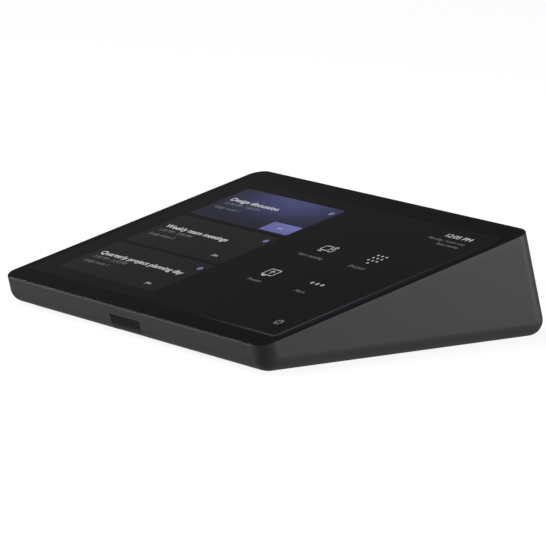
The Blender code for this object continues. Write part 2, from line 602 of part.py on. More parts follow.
def build_base_plate():
    """The base plate: feet recesses, screw holes, vents, mount bosses, board posts, cable bay."""
    base = plate("base_plate", (PLATE_WIDTH, PLATE_BACK - PLATE_FRONT), PLATE_RADIUS, PLATE_THICKNESS,
                 (0, PLATE_MIDDLE, 0), material="base_plastic")
    inside = PLATE_THICKNESS - PAST
    fuse(base, block("bay_pad", (-PAD_HALF_WIDTH, PAD_FRONT, inside), (PAD_HALF_WIDTH, PAD_BACK, PAD_TOP)))
    fuse(base, block("bay_walls", (-BAY_HALF_WIDTH - BAY_WALL, BAY_FRONT - BAY_WALL, inside),
                     (BAY_HALF_WIDTH + BAY_WALL, BAY_BACK + BAY_WALL, BAY_ROOF + BAY_WALL)))
    fuse(base, bore("cover_screw_boss", (0, COVER_SCREW_Y), PAD_TOP - PAST, COVER_SCREW_BOSS[1],
                    COVER_SCREW_BOSS[0]))
    for index, spot in enumerate(BOARD_SCREWS, 1):
        fuse(base, bore(f"board_post_{index}", spot, inside, BOARD_BOTTOM - GAP, BOARD_POST_RADIUS))
    for index, spot in enumerate(MOUNT_INSERTS, 1):
        fuse(base, bore(f"mount_boss_{index}", spot, inside, MOUNT_BOSS_TOP, MOUNT_BOSS_RADIUS))
    cut(base, block("bay_inside", (-BAY_HALF_WIDTH, BAY_FRONT, -PAST), (BAY_HALF_WIDTH, BAY_BACK, BAY_ROOF)))
    for side, name in ((-1, "left"), (1, "right")):
        add_bay_side(base, side, name)
    cut(base, block("cover_rebate", (-COVER_HALF_WIDTH - GAP, COVER_FRONT - GAP, -PAST),
                    (COVER_HALF_WIDTH + GAP, HINGE_Y + HINGE_RADIUS + 2 * GAP, COVER_TOP + GAP)))
    cut(base, bore("cover_screw_bore", (0, COVER_SCREW_Y), PAST, COVER_SCREW_BORE[1], COVER_SCREW_BORE[0]))
    cut(base, block("outlet_gap", (-OUTLET_HALF_WIDTH, BAY_BACK - PAST, -PAST),
                    (OUTLET_HALF_WIDTH, PLATE_BACK + 4 * PAST, OUTLET_TOP)))
    for name, (x, width, height, _) in SOCKETS.items():
        cut(base, block(name + "_gap", (x - width / 2 - GAP, BAY_FRONT - BAY_WALL - PAST, BOARD_TOP),
                        (x + width / 2 + GAP, BAY_FRONT + PAST, BOARD_TOP + height + 2 * GAP)))
    for index, spot in enumerate(BASE_SCREWS, 1):
        cut(base, bore(f"base_hole_{index}", spot, -PAST, PLATE_THICKNESS + PAST))
        cut(base, bore(f"base_counterbore_{index}", spot, -PAST, COUNTERBORE_DEPTH, COUNTERBORE_RADIUS))
    for index, spot in enumerate(BOARD_SCREWS, 1):
        cut(base, bore(f"board_post_bore_{index}", spot, BOARD_POST_BORE, BOARD_BOTTOM + PAST))
    for index, spot in enumerate(MOUNT_INSERTS, 1):
        cut(base, bore(f"mount_bore_{index}", spot, -PAST, INSERT_TOP + GAP, INSERT_RADIUS + GAP))
    for name, (x, y) in FEET.items():
        size = (FOOT_SIZE[0] + 2 * GAP, FOOT_SIZE[1] + 2 * GAP)
        cut(base, plate("foot_recess_" + name, size, 0.49 * size[1], FOOT_SINK + PAST, (x, y, -PAST)))
    for index in range(VENT_COUNT):
        x = (index - (VENT_COUNT - 1) / 2) * VENT_PITCH
        cut(base, plate(f"vent_{index + 1}", VENT_SIZE, VENT_RADIUS, PLATE_THICKNESS + 2 * PAST,
                        (x, VENT_Y, -PAST)))


def add_bay_side(base, side, name):
    """One side's clamp post and its bore, hinge socket and ballast bore."""
    clamp_spot = (side * CLAMP_SCREW_X, CLAMP_Y)
    fuse(base, bore("clamp_post_" + name, clamp_spot, CLAMP_TOP + GAP, BAY_ROOF + GAP, CLAMP_POST_RADIUS))
    cut(base, bore("clamp_bore_" + name, clamp_spot, CLAMP_TOP - PAST, CLAMP_BORE_TOP))
    socket_middle = side * (COVER_HALF_WIDTH + PIN_SOCKET_LENGTH / 2)
    cut(base, rod("hinge_socket_" + name, PIN_RADIUS + GAP,
                  (socket_middle - PIN_SOCKET_LENGTH / 2, HINGE_Y, HINGE_Z), PIN_SOCKET_LENGTH, "X"))
    cut(base, bore("ballast_bore_" + name, (side * BALLAST_X, PLATE_MIDDLE), BALLAST_BORE,
                   PLATE_THICKNESS + PAST))


def build_base_hardware():
    """Feet, base screws, mount inserts and the ballast with its screws."""
    for name, (x, y) in FEET.items():
        foot = plate("foot_" + name, FOOT_SIZE, 0.49 * FOOT_SIZE[1],
                     FOOT_PROUD + FOOT_SINK - GAP, (x, y, -FOOT_PROUD), material="foot_rubber")
        edge = foot.modifiers.new("soft_edge", "BEVEL")
        edge.width = FOOT_EDGE
        edge.segments = 1
        edge.limit_method = "ANGLE"
        edge.angle_limit = math.radians(60)
    for index, (x, y) in enumerate(BASE_SCREWS, 1):
        screw(f"base_screw_{index}", (x, y, HEAD_UNDER), BASE_SCREW_LENGTH, flip=True)
    for index, (x, y) in enumerate(MOUNT_INSERTS, 1):
        insert = rod(f"mount_insert_{index}", INSERT_RADIUS, (x, y, INSERT_BOTTOM),
                     INSERT_TOP - INSERT_BOTTOM, material="insert_brass")
        cut(insert, bore(f"mount_thread_{index}", (x, y), -PAST, INSERT_TOP + PAST, INSERT_BORE))
    for side, name in ((-1, "left"), (1, "right")):
        low_x, low_y, high_x, high_y = BALLAST
        bottom = PLATE_THICKNESS + GAP
        top = bottom + BALLAST_THICKNESS
        ballast = plate("ballast_" + name, (high_x - low_x, high_y - low_y), BALLAST_RADIUS,
                        BALLAST_THICKNESS, (side * BALLAST_X, (low_y + high_y) / 2, bottom),
                        material="ballast_iron")
        hole_spot = (side * BALLAST_X, PLATE_MIDDLE)
        cut(ballast, bore("ballast_hole_" + name, hole_spot, bottom - PAST, top + PAST))
        screw("ballast_screw_" + name, (*hole_spot, top + GAP), BALLAST_SCREW_LENGTH)


def build_electronics():
    """The main board with its shield, heat spreader and sockets."""
    board = plate("main_board", (2 * BOARD_HALF_WIDTH, BOARD_BACK - BOARD_FRONT), BOARD_RADIUS,
                  BOARD_THICKNESS, (0, (BOARD_FRONT + BOARD_BACK) / 2, BOARD_BOTTOM),
                  material="board_laminate")
    for name, (low_x, low_y, high_x, high_y, height) in CHIPS.items():
        fuse(board, block(name, (low_x, low_y, BOARD_TOP - BOARD_THICKNESS / 2),
                          (high_x, high_y, BOARD_TOP + height)))
    for index, spot in enumerate(BOARD_SCREWS, 1):
        cut(board, bore(f"board_hole_{index}", spot, BOARD_BOTTOM - PAST, BOARD_TOP + PAST))
        screw(f"board_screw_{index}", (*spot, BOARD_TOP + GAP), BOARD_SCREW_LENGTH)
    low_x, low_y, high_x, high_y = SHIELD
    bottom, top = BOARD_TOP + GAP, BOARD_TOP + GAP + SHIELD_HEIGHT
    shield = block("processor_shield", (low_x, low_y, bottom), (high_x, high_y, top), material="sheet_steel")
    cut(shield, block("shield_inside", (low_x + SHIELD_SKIN, low_y + SHIELD_SKIN, bottom - PAST),
                      (high_x - SHIELD_SKIN, high_y - SHIELD_SKIN, top - SHIELD_SKIN)))
    width, depth, radius, thickness = SPREADER
    plate("heat_spreader", (width, depth), radius, thickness,
          ((low_x + high_x) / 2, (low_y + high_y) / 2, top + GAP), material="heat_aluminium")
    for name, (x, socket_width, height, mouth) in SOCKETS.items():
        build_socket(name, x, socket_width, height, mouth)


def build_socket(name, x, width, height, mouth):
    """A socket on the main board that faces back into the bay; the plug's tongue stands in it."""
    bottom = BOARD_TOP + GAP
    middle = bottom + height / 2
    back = SOCKET_FACE - SOCKET_DEPTH
    finish = "socket_plastic" if name == "power_socket" else "socket_metal"
    socket = block(name, (x - width / 2, SOCKET_FRONT, bottom), (x + width / 2, SOCKET_FACE, bottom + height),
                   material=finish)
    if name == "power_socket":
        cut(socket, rod(name + "_mouth", mouth[0] / 2, (x, back, middle), SOCKET_DEPTH + PAST, "Y"))
        fuse(socket, rod(name + "_pin", SOCKET_PIN_RADIUS, (x, back - PAST, middle), SOCKET_DEPTH, "Y"))
        return
    cut(socket, block(name + "_mouth", (x - mouth[0] / 2, back, middle - mouth[1] / 2),
                      (x + mouth[0] / 2, SOCKET_FACE + PAST, middle + mouth[1] / 2)))
    half_tongue = TONGUE_SHARE * mouth[0] / 2
    fuse(socket, block(name + "_tongue", (x - half_tongue, back - PAST, middle - TONGUE_THICKNESS / 2),
                       (x + half_tongue, SOCKET_FACE - PAST, middle + TONGUE_THICKNESS / 2)))


def build_cable_parts():
    """The bay's clamp, and the plate behind the security slot."""
    clamp_bottom = CLAMP_TOP - CLAMP_THICKNESS
    clamp = plate("cable_clamp", CLAMP_SIZE, CLAMP_RADIUS, CLAMP_THICKNESS, (0, CLAMP_Y, clamp_bottom),
                  material="base_plastic")
    for side, name in ((-1, "left"), (1, "right")):
        spot = (side * CLAMP_SCREW_X, CLAMP_Y)
        cut(clamp, bore("clamp_hole_" + name, spot, clamp_bottom - PAST, CLAMP_TOP + PAST))
        screw("clamp_screw_" + name, (*spot, clamp_bottom - GAP), CLAMP_SCREW_LENGTH, flip=True)
    width, thickness, height = LOCK_PLATE
    back = SLOPE_LENGTH - WALL - GAP
    slab = block("lock_plate", (LOCK_X - width / 2, back - thickness, -LOCK_DROP - height / 2),
                 (LOCK_X + width / 2, back, -LOCK_DROP + height / 2), "deck_frame", "sheet_steel")
    cut(slab, lock_opening("lock_plate_slot"))


def build_cable_cover():
    """The bay's hinged cover, with its vents, and the captive screw that holds it shut."""
    hinge = frames["underside_frame"].matrix_world @ Matrix.Translation((0, HINGE_Y, HINGE_Z))
    add_empty("cover_hinge_axis", hinge)
    bottom, thickness = COVER_BOTTOM - HINGE_Z, COVER_TOP - COVER_BOTTOM
    length = HINGE_Y - COVER_FRONT
    cover = plate("cable_cover", (2 * COVER_HALF_WIDTH, length), COVER_RADIUS, thickness,
                  (0, -length / 2, bottom), "cover_hinge_axis", "base_plastic")
    fuse(cover, rod("cover_barrel", HINGE_RADIUS, (-COVER_HALF_WIDTH, 0, 0), 2 * COVER_HALF_WIDTH, "X",
                    "cover_hinge_axis"))
    pin_reach = COVER_HALF_WIDTH + PIN_LENGTH
    fuse(cover, rod("cover_pins", PIN_RADIUS, (-pin_reach, 0, 0), 2 * pin_reach, "X", "cover_hinge_axis"))
    spot = (0, COVER_SCREW_Y - HINGE_Y)
    cut(cover, bore("cover_counterbore", spot, bottom - PAST, bottom + COUNTERBORE_DEPTH + GAP / 3,
                    COVER_SCREW_HEAD + GAP, "cover_hinge_axis"))
    cut(cover, bore("cover_hole", spot, bottom - PAST, bottom + thickness + PAST, SHANK + 2 * GAP,
                    "cover_hinge_axis"))
    for index in range(COVER_VENT_COUNT):
        x = (index - (COVER_VENT_COUNT - 1) / 2) * COVER_VENT_PITCH
        cut(cover, plate(f"cover_vent_{index + 1}", COVER_VENT_SIZE, VENT_RADIUS, thickness + 2 * PAST,
                         (x, COVER_VENT_Y, bottom - PAST), "cover_hinge_axis"))
    axis = frames["underside_frame"].matrix_world @ Matrix.Translation((0, COVER_SCREW_Y, COVER_SCREW_Z))
    add_empty("cover_screw_axis", axis)
    screw("cover_screw", (0, 0, 0), COVER_SCREW_LENGTH, frame="cover_screw_axis", flip=True,
          head_radius=COVER_SCREW_HEAD, head_height=COVER_SCREW_HEAD_HEIGHT)


def main():
    """Build the whole controller."""
    start_scene()
    build_materials()
    build_housing()
    build_sensor()
    build_display()
    build_base_plate()
    build_base_hardware()
    build_electronics()
    build_cable_parts()
    build_cable_cover()


main()
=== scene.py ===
"""Looks of a tabletop touch controller for a meeting room.

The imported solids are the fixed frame. This script gives every one of them its
finish, replaces the pieces that are seen close up with finer surfaces, lights
the screen, and sets up the camera, the floor and the studio lights.

Lengths are in metres. The deck is the plane of the glass: u runs to the right,
v up the slope from the housing's front top edge, s out of the glass.
"""
import json
import logging
import math
from dataclasses import dataclass, field
from enum import Enum

import bmesh
import bpy
import numpy as np
from mathutils import Matrix, Vector


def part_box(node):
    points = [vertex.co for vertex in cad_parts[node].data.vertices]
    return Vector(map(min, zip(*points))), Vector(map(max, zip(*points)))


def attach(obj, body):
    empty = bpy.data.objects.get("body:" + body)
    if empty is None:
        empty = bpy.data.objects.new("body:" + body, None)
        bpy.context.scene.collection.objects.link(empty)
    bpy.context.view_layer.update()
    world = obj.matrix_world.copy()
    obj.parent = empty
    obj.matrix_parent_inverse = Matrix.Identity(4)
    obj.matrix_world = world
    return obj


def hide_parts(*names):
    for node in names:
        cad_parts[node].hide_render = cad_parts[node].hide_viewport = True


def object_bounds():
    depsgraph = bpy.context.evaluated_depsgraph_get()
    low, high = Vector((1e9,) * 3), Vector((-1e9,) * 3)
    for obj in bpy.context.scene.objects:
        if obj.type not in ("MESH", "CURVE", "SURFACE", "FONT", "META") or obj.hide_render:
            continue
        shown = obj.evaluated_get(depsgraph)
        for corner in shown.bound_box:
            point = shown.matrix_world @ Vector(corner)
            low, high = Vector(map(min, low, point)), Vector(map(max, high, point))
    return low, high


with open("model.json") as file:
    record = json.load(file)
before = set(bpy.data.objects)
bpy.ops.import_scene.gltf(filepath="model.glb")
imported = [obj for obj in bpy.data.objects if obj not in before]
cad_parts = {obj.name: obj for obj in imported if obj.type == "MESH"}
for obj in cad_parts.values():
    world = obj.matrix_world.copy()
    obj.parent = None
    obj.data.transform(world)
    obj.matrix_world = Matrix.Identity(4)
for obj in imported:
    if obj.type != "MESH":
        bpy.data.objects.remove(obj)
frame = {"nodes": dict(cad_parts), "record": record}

CAD_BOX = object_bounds()
LOG = logging.getLogger("controller")
MM = 0.001

GLASS_THICKNESS = 1.1 * MM
GLASS_SETBACK = 1.0 * MM        # from the housing's outer edge to the solid glass
LAYER = 0.008 * MM              # step between the thin layers of the screen
FEATHER = 0.05 * MM             # how far a lit piece's lower rim spreads past its upper one
SKIRT = -0.9 * LAYER            # height of that lower rim, from the piece's face


# ---------------------------------------------------------------- surfaces


def rounded_outline(width: float, depth: float, radius: float, steps: int) -> tuple[np.ndarray, np.ndarray]:
    """Points and outward normals of a rounded rectangle about the origin.

    Each corner is a quarter circle: its middle plus the radius times the unit
    vector at angles spread evenly over the quarter. The straight sides are the
    steps from one quarter to the next.

    Args:
        width: Size along x.
        depth: Size along y.
        radius: Corner radius.
        steps: Steps in each quarter circle.

    Returns:
        Two arrays of shape (4 * (steps + 1), 2): the points and the normals.
    """
    quarter = np.repeat(np.arange(4), steps + 1)
    angle = (quarter + np.tile(np.linspace(0, 1, steps + 1), 4)) * np.pi / 2
    normals = np.stack([np.cos(angle), np.sin(angle)], axis=1)
    side = np.array([1, -1, -1, 1])[quarter]
    end = np.array([1, 1, -1, -1])[quarter]
    middles = np.stack([side * (width / 2 - radius), end * (depth / 2 - radius)], axis=1)
    return middles + radius * normals, normals


def grid_mesh(name: str, points: np.ndarray, wrap_rows: bool = False, wrap_columns: bool = True,
              caps: bool = False) -> bpy.types.Mesh:
    """Make a mesh of quads between the rows and columns of a grid of points.

    Args:
        name: Name of the mesh.
        points: Array of shape (rows, columns, 3).
        wrap_rows: Join the last row to the first one.
        wrap_columns: Join the last column to the first one.
        caps: Close the first and the last row with one flat face each.

    Returns:
        The mesh, with its faces turned outwards where it is closed.
    """
    rows, columns = points.shape[:2]
    row = np.arange(rows if wrap_rows else rows - 1)[:, None]
    column = np.arange(columns if wrap_columns else columns - 1)[None, :]
    below, beside = (row + 1) % rows, (column + 1) % columns
    corners = [row * columns + column, row * columns + beside, below * columns + beside,
               below * columns + column]
    faces = np.stack([np.broadcast_to(c, np.broadcast_shapes(row.shape, column.shape)) for c in corners],
                     axis=-1).reshape(-1, 4).tolist()
    if caps:
        faces.append(np.arange(columns)[::-1].tolist())
        faces.append(np.arange((rows - 1) * columns, rows * columns).tolist())
    mesh = bpy.data.meshes.new(name)
    mesh.from_pydata(points.reshape(-1, 3).tolist(), [], faces)
    return mesh


def tidy_mesh(mesh: bpy.types.Mesh, sharp: float = 35.0, merge: float = 1e-7) -> None:
    """Merge doubles, turn the faces outwards and shade smooth up to an angle.

    Args:
        mesh: The mesh to finish.
        sharp: Edges that turn by more than this many degrees stay sharp.
        merge: Distance within which points are merged.
    """
    bm = bmesh.new()
    bm.from_mesh(mesh)
    bmesh.ops.remove_doubles(bm, verts=bm.verts, dist=merge)
    bmesh.ops.recalc_face_normals(bm, faces=bm.faces)
    bm.to_mesh(mesh)
    bm.free()
    mesh.shade_smooth()
    mesh.set_sharp_from_angle(angle=math.radians(sharp))


def lathe(profile: np.ndarray, steps: int) -> np.ndarray:
    """A profile of radius and height turned about Z.

    A point is (r cos a, r sin a, z), for each profile point (r, z) and each
    angle a round the full turn.

    Args:
        profile: Array of shape (rows, 2).
        steps: Number of angles.

    Returns:
        A grid of shape (rows, steps, 3).
    """
    angle = np.linspace(0, 2 * np.pi, steps, endpoint=False)
    ring = np.stack([np.cos(angle), np.sin(angle), np.zeros(steps)], axis=1)
    radius, height = profile[:, 0], profile[:, 1]
    return radius[:, None, None] * ring[None] + height[:, None, None] * np.array([0, 0, 1.0])


def lifted(points: np.ndarray, height: float) -> np.ndarray:
    """Flat points, each given the same height as its third number."""
    return np.c_[points, np.full(len(points), height)]


def rounded_run(corners: list[tuple[float, float]], radius: float, steps: int = 4) -> np.ndarray:
    """A polyline whose inner corners are rounded.

    Each inner corner becomes a quadratic curve: it leaves one side and meets
    the next at the radius, or at half of a shorter side, and is pulled towards
    the corner point between the two.

    Args:
        corners: The polyline's points, two numbers each.
        radius: Distance from a corner at which its rounding starts.
        steps: Steps in each rounding.

    Returns:
        Array of shape (points, 2).
    """
    points = np.array(corners, float)
    run = [points[:1]]
    share = np.linspace(0, 1, steps + 1)[:, None]
    for before, corner, after in zip(points[:-2], points[1:-1], points[2:]):
        reach_in = min(radius, np.linalg.norm(before - corner) / 2)
        reach_out = min(radius, np.linalg.norm(after - corner) / 2)
        start = corner + (before - corner) / np.linalg.norm(before - corner) * reach_in
        end = corner + (after - corner) / np.linalg.norm(after - corner) * reach_out
        run.append((1 - share) ** 2 * start + 2 * share * (1 - share) * corner + share ** 2 * end)
    run.append(points[-1:])
    return np.concatenate(run)


def add_object(name: str, data: bpy.types.ID) -> bpy.types.Object:
    """Link a mesh, curve, light or camera to the scene as an object at the origin."""
    made = bpy.data.objects.new(name, data)
    bpy.context.scene.collection.objects.link(made)
    return made


def closed_tool(name: str, rings: np.ndarray) -> bpy.types.Object:
    """A closed cutter between the first ring and the last one."""
    mesh = grid_mesh(name, rings, caps=True)
    tidy_mesh(mesh)
    return add_object(name, mesh)


def evaluated_mesh(piece: bpy.types.Object) -> bpy.types.Mesh:
    """The mesh of an object with its modifiers applied."""
    bpy.context.view_layer.update()
    return bpy.data.meshes.new_from_object(piece.evaluated_get(bpy.context.evaluated_depsgraph_get()))


def carve(piece: bpy.types.Object, tools: list[bpy.types.Object]) -> None:
    """Cut closed tools out of a piece, apply the cuts and remove the tools."""
    for tool in tools:
        step = piece.modifiers.new("cut", "BOOLEAN")
        step.operation = "DIFFERENCE"
        step.solver = "EXACT"
        step.object = tool
    mesh = evaluated_mesh(piece)
    piece.modifiers.clear()
    piece.data = mesh
    for tool in tools:
        bpy.data.objects.remove(tool)


# ---------------------------------------------------------------- the deck and the wedge


@dataclass(frozen=True)
class Deck:
    """The glass plane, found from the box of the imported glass.

    The box of a plate of length l and thickness t, tilted by an angle a, is
    l cos a + t sin a deep and l sin a + t cos a tall, which gives l and a.
    """

    origin: np.ndarray
    tilt: float
    width: float
    length: float

    @classmethod
    def from_frame(cls) -> "Deck":
        """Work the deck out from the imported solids."""
        low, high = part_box("touch_glass")
        run, rise = high.y - low.y, high.z - low.z
        tilt = math.atan2(rise, run)
        for _ in range(20):
            tilt = math.atan2(rise - GLASS_THICKNESS * math.cos(tilt), run - GLASS_THICKNESS * math.sin(tilt))
        length = (run - GLASS_THICKNESS * math.sin(tilt)) / math.cos(tilt)
        front_top = np.array([(low.x + high.x) / 2, low.y, low.z + GLASS_THICKNESS * math.cos(tilt)])
        slope = np.array([0, math.cos(tilt), math.sin(tilt)])
        return cls(front_top - GLASS_SETBACK * slope, tilt, high.x - low.x + 2 * GLASS_SETBACK,
                   length + 2 * GLASS_SETBACK)

    @property
    def axes(self) -> np.ndarray:
        """The u, v and s directions, one in each row."""
        cos, sin = math.cos(self.tilt), math.sin(self.tilt)
        return np.array([[1, 0, 0], [0, cos, sin], [0, -sin, cos]])

    def place(self, points: np.ndarray) -> np.ndarray:
        """Move points from deck coordinates to the part's frame."""
        return self.origin + points @ self.axes

    def matrix(self, u: float, v: float, s: float) -> Matrix:
        """The matrix that sets a flat piece on the deck at u, v and s."""
        turned = np.eye(4)
        turned[:3, :3] = self.axes.T
        turned[:3, 3] = self.place(np.array([u, v, s]))
        return Matrix(turned.tolist())


@dataclass(frozen=True)
class Wedge:
    """The housing's outer form: a rounded outline in the deck, run down square
    to the glass, and rolled into the level underside by a ball."""

    deck: Deck
    base_height: float
    corner_radius: float = 9.0 * MM
    fillet: float = 8.0 * MM
    arc_steps: int = 28

    def deck_ring(self, inset: float, height: float) -> np.ndarray:
        """The outline drawn in by an inset, at a height out of the glass."""
        points, _ = self.outline(inset)
        return self.deck.place(lifted(points, height))

    def outline(self, inset: float) -> tuple[np.ndarray, np.ndarray]:
        """The outline's points on the deck, drawn in by an inset, and their normals."""
        points, normals = rounded_outline(self.deck.width - 2 * inset, self.deck.length - 2 * inset,
                                          self.corner_radius - inset, self.arc_steps)
        return points + np.array([0, self.deck.length / 2]), normals

    def fillet_ring(self, share: float, inset: float = 0.0, floor: float = 0.0) -> np.ndarray:
        """One ring of the base fillet.

        A ball that touches the side wall and the floor has its middle at the
        outline drawn in by the ball's radius, dropped square to the glass until
        it is one radius over the floor. The ring's point is that middle plus
        the radius times a unit vector that turns from the wall's normal to -Z.

        Args:
            share: 0 at the wall, 1 at the floor.
            inset: How far the walls are drawn in.
            floor: Height of the floor over the underside.

        Returns:
            Array of shape (points, 3), in the part's frame.
        """
        ball = self.fillet - inset
        points, normals = self.outline(inset)
        return self.rolled(points, normals, ball, floor, np.full(len(points), share))

    def rolled(self, points: np.ndarray, normals: np.ndarray, ball: float, floor: float,
               share: np.ndarray) -> np.ndarray:
        """Points of the rolled fillet, as fillet_ring says, each with its own share."""
        surface = self.deck.place(lifted(points - normals * ball, 0.0))
        down_slope = self.deck.axes[2]
        drop = (surface[:, 2] - self.base_height - floor - ball) / down_slope[2]
        middle = surface - drop[:, None] * down_slope
        outward = lifted(normals, 0.0) @ self.deck.axes
        whole = np.arccos(np.clip(-outward[:, 2], -1, 1))
        ray = (outward * (np.sin((1 - share) * whole) / np.sin(whole))[:, None]
               + np.array([0, 0, -1.0]) * (np.sin(share * whole) / np.sin(whole))[:, None])
        return middle + ball * ray

    def level_ring(self, width: float, depth: float, radius: float, middle_y: float,
                   height: float) -> np.ndarray:
        """A level rounded rectangle at a height over the underside."""
        points, _ = rounded_outline(width, depth, radius, self.arc_steps)
        return lifted(points + np.array([0, middle_y]), self.base_height + height)


# ---------------------------------------------------------------- node groups


class Pattern(Enum):
    """Effects that several materials share, each one node group."""

    GRAIN = "moulded_grain"
    SMUDGE = "handling_smudge"
    DUST = "settled_dust"
    BRUSH = "rolled_metal"


@dataclass
class Wiring:
    """Adds and links nodes in one tree."""

    tree: bpy.types.NodeTree

    def node(self, kind: str, settings: dict | None = None, **inputs) -> bpy.types.Node:
        """Add a node, set its properties, and set or link its inputs.

        Args:
            kind: Node type.
            settings: Properties of the node.
            **inputs: Input names, with _ for a space; values are numbers, tuples
                or sockets. A name such as at_1 is the input at that place.

        Returns:
            The node.
        """
        made = self.tree.nodes.new(kind)
        for key, value in (settings or {}).items():
            setattr(made, key, value)
        self.feed(made, **inputs)
        return made

    def feed(self, target: bpy.types.Node, **inputs) -> None:
        """Set or link a node's inputs.

        Args:
            target: The node.
            **inputs: As for a new node.
        """
        for key, value in inputs.items():
            place = int(key[3:]) if key.startswith("at_") else key.replace("_", " ")
            socket = target.inputs[place]
            if isinstance(value, bpy.types.NodeSocket):
                self.tree.links.new(value, socket)
            else:
                socket.default_value = value

    def math(self, operation: str, first, second=0.0) -> bpy.types.NodeSocket:
        """A Math node's result."""
        return self.node("ShaderNodeMath", {"operation": operation}, at_0=first, at_1=second).outputs[0]

    def noise(self, vector, scale, detail: float = 2.0, roughness: float = 0.5) -> bpy.types.NodeSocket:
        """A noise texture's value."""
        made = self.node("ShaderNodeTexNoise", Vector=vector, Scale=scale, Detail=detail,
                         Roughness=roughness)
        return made.outputs["Fac"]

    def span(self, value, low: float, high: float, to_low: float = 0.0,
             to_high: float = 1.0) -> bpy.types.NodeSocket:
        """A value mapped smoothly from one span to another and clamped."""
        made = self.node("ShaderNodeMapRange", {"interpolation_type": "SMOOTHSTEP"}, Value=value,
                         From_Min=low, From_Max=high, To_Min=to_low, To_Max=to_high)
        return made.outputs["Result"]

    def mix(self, share, first, second) -> bpy.types.NodeSocket:
        """A blend of two colours."""
        made = self.node("ShaderNodeMix", {"data_type": "RGBA"}, at_0=share, at_6=first, at_7=second)
        return made.outputs[2]


def new_group(pattern: Pattern, inputs: dict[str, float],
              outputs: list[str]) -> tuple[Wiring, bpy.types.Node, bpy.types.Node]:
    """Start a shader node group with a vector input, number inputs and number outputs.

    Args:
        pattern: The effect, which gives the group its name.
        inputs: Names of the number inputs and their defaults.
        outputs: Names of the number outputs.

    Returns:
        The group's wiring, its input node and its output node.
    """
    tree = bpy.data.node_groups.new(pattern.value, "ShaderNodeTree")
    tree.interface.new_socket("Vector", in_out="INPUT", socket_type="NodeSocketVector")
    for label, value in inputs.items():
        socket = tree.interface.new_socket(label, in_out="INPUT", socket_type="NodeSocketFloat")
        socket.default_value = value
    for label in outputs:
        tree.interface.new_socket(label, in_out="OUTPUT", socket_type="NodeSocketFloat")
    return Wiring(tree), tree.nodes.new("NodeGroupInput"), tree.nodes.new("NodeGroupOutput")


def build_grain() -> None:
    """Spark-eroded mould grain: two sizes of noise for height, a mask of its low spots for painted shade, and
    slow blotches.
    """
    wire, start, end = new_group(Pattern.GRAIN, {"Scale": 2600.0}, ["Height", "Pits", "Blotch"])
    vector, scale = start.outputs["Vector"], start.outputs["Scale"]
    fine = wire.noise(vector, scale, 3.0, 0.6)
    coarse = wire.noise(vector, wire.math("MULTIPLY", scale, 0.38), 2.0, 0.5)
    height = wire.math("ADD", wire.math("MULTIPLY", fine, 0.6), wire.math("MULTIPLY", coarse, 0.4))
    # Pits is 1 in the grain's low spots, where the plastic gets painted shade
    wire.feed(end, Height=height, Pits=wire.span(height, 0.36, 0.50, 1.0, 0.0),
              Blotch=wire.span(wire.noise(vector, 34.0, 4.0, 0.6), 0.35, 0.68))


def build_smudge() -> None:
    """Faint smears left by fingers: stretched noise, kept to a few patches."""
    wire, start, end = new_group(Pattern.SMUDGE, {"Scale": 1.0}, ["Smear"])
    vector = wire.node("ShaderNodeMapping", Vector=start.outputs["Vector"], Rotation=(0.3, 0.2, 0.7),
                       Scale=(1.0, 0.35, 1.0)).outputs[0]
    scale = start.outputs["Scale"]
    patches = wire.span(wire.noise(vector, wire.math("MULTIPLY", scale, 26.0), 2.0), 0.52, 0.72)
    ridges = wire.noise(vector, wire.math("MULTIPLY", scale, 420.0), 3.0, 0.65)
    wire.feed(end, Smear=wire.math("MULTIPLY", patches, ridges))


def build_dust() -> None:
    """Sparse specks: the middles of small cells, most of them switched off."""
    wire, start, end = new_group(Pattern.DUST, {"Scale": 420.0, "Amount": 0.1}, ["Specks"])
    cells = wire.node("ShaderNodeTexVoronoi", Vector=start.outputs["Vector"],
                      Scale=start.outputs["Scale"])
    near = wire.span(cells.outputs["Distance"], 0.05, 0.11, 1.0, 0.0)
    chance = wire.node("ShaderNodeSeparateColor", Color=cells.outputs["Color"]).outputs[0]
    chosen = wire.math("LESS_THAN", chance, start.outputs["Amount"])
    wire.feed(end, Specks=wire.math("MULTIPLY", near, chosen))


def build_brush() -> None:
    """Rolled or turned metal: noise drawn out along one direction."""
    wire, start, end = new_group(Pattern.BRUSH, {"Scale": 900.0}, ["Streak"])
    vector = wire.node("ShaderNodeMapping", Vector=start.outputs["Vector"],
                       Scale=(1.0, 0.06, 1.0)).outputs[0]
    wire.feed(end, Streak=wire.noise(vector, start.outputs["Scale"], 3.0, 0.6))


def build_groups() -> None:
    """Make every shared node group once."""
    for build in (build_grain, build_smudge, build_dust, build_brush):
        build()


# ---------------------------------------------------------------- finishes

Colour = tuple[float, float, float]


@dataclass(frozen=True)
class Finish:
    """A finish that a material is made from; each kind adds its own nodes."""

    name: str
    colour: Colour

    def start(self) -> tuple[bpy.types.Material, Wiring, bpy.types.Node, bpy.types.NodeSocket]:
        """Make the material, and give back its wiring, shader and object coordinates."""
        made = bpy.data.materials.new(self.name)
        made.use_nodes = True
        wire = Wiring(made.node_tree)
        shader = made.node_tree.nodes["Principled BSDF"]
        coordinates = made.node_tree.nodes.new("ShaderNodeTexCoord").outputs["Object"]
        return made, wire, shader, coordinates

    def pattern(self, wire: Wiring, pattern: Pattern, vector, **values) -> bpy.types.Node:
        """Place one of the shared groups in this material."""
        group = bpy.data.node_groups[pattern.value]
        return wire.node("ShaderNodeGroup", {"node_tree": group}, Vector=vector, **values)

    def shade(self, factor: float) -> tuple[float, float, float, float]:
        """The colour times a factor, opaque."""
        return (*(channel * factor for channel in self.colour), 1.0)


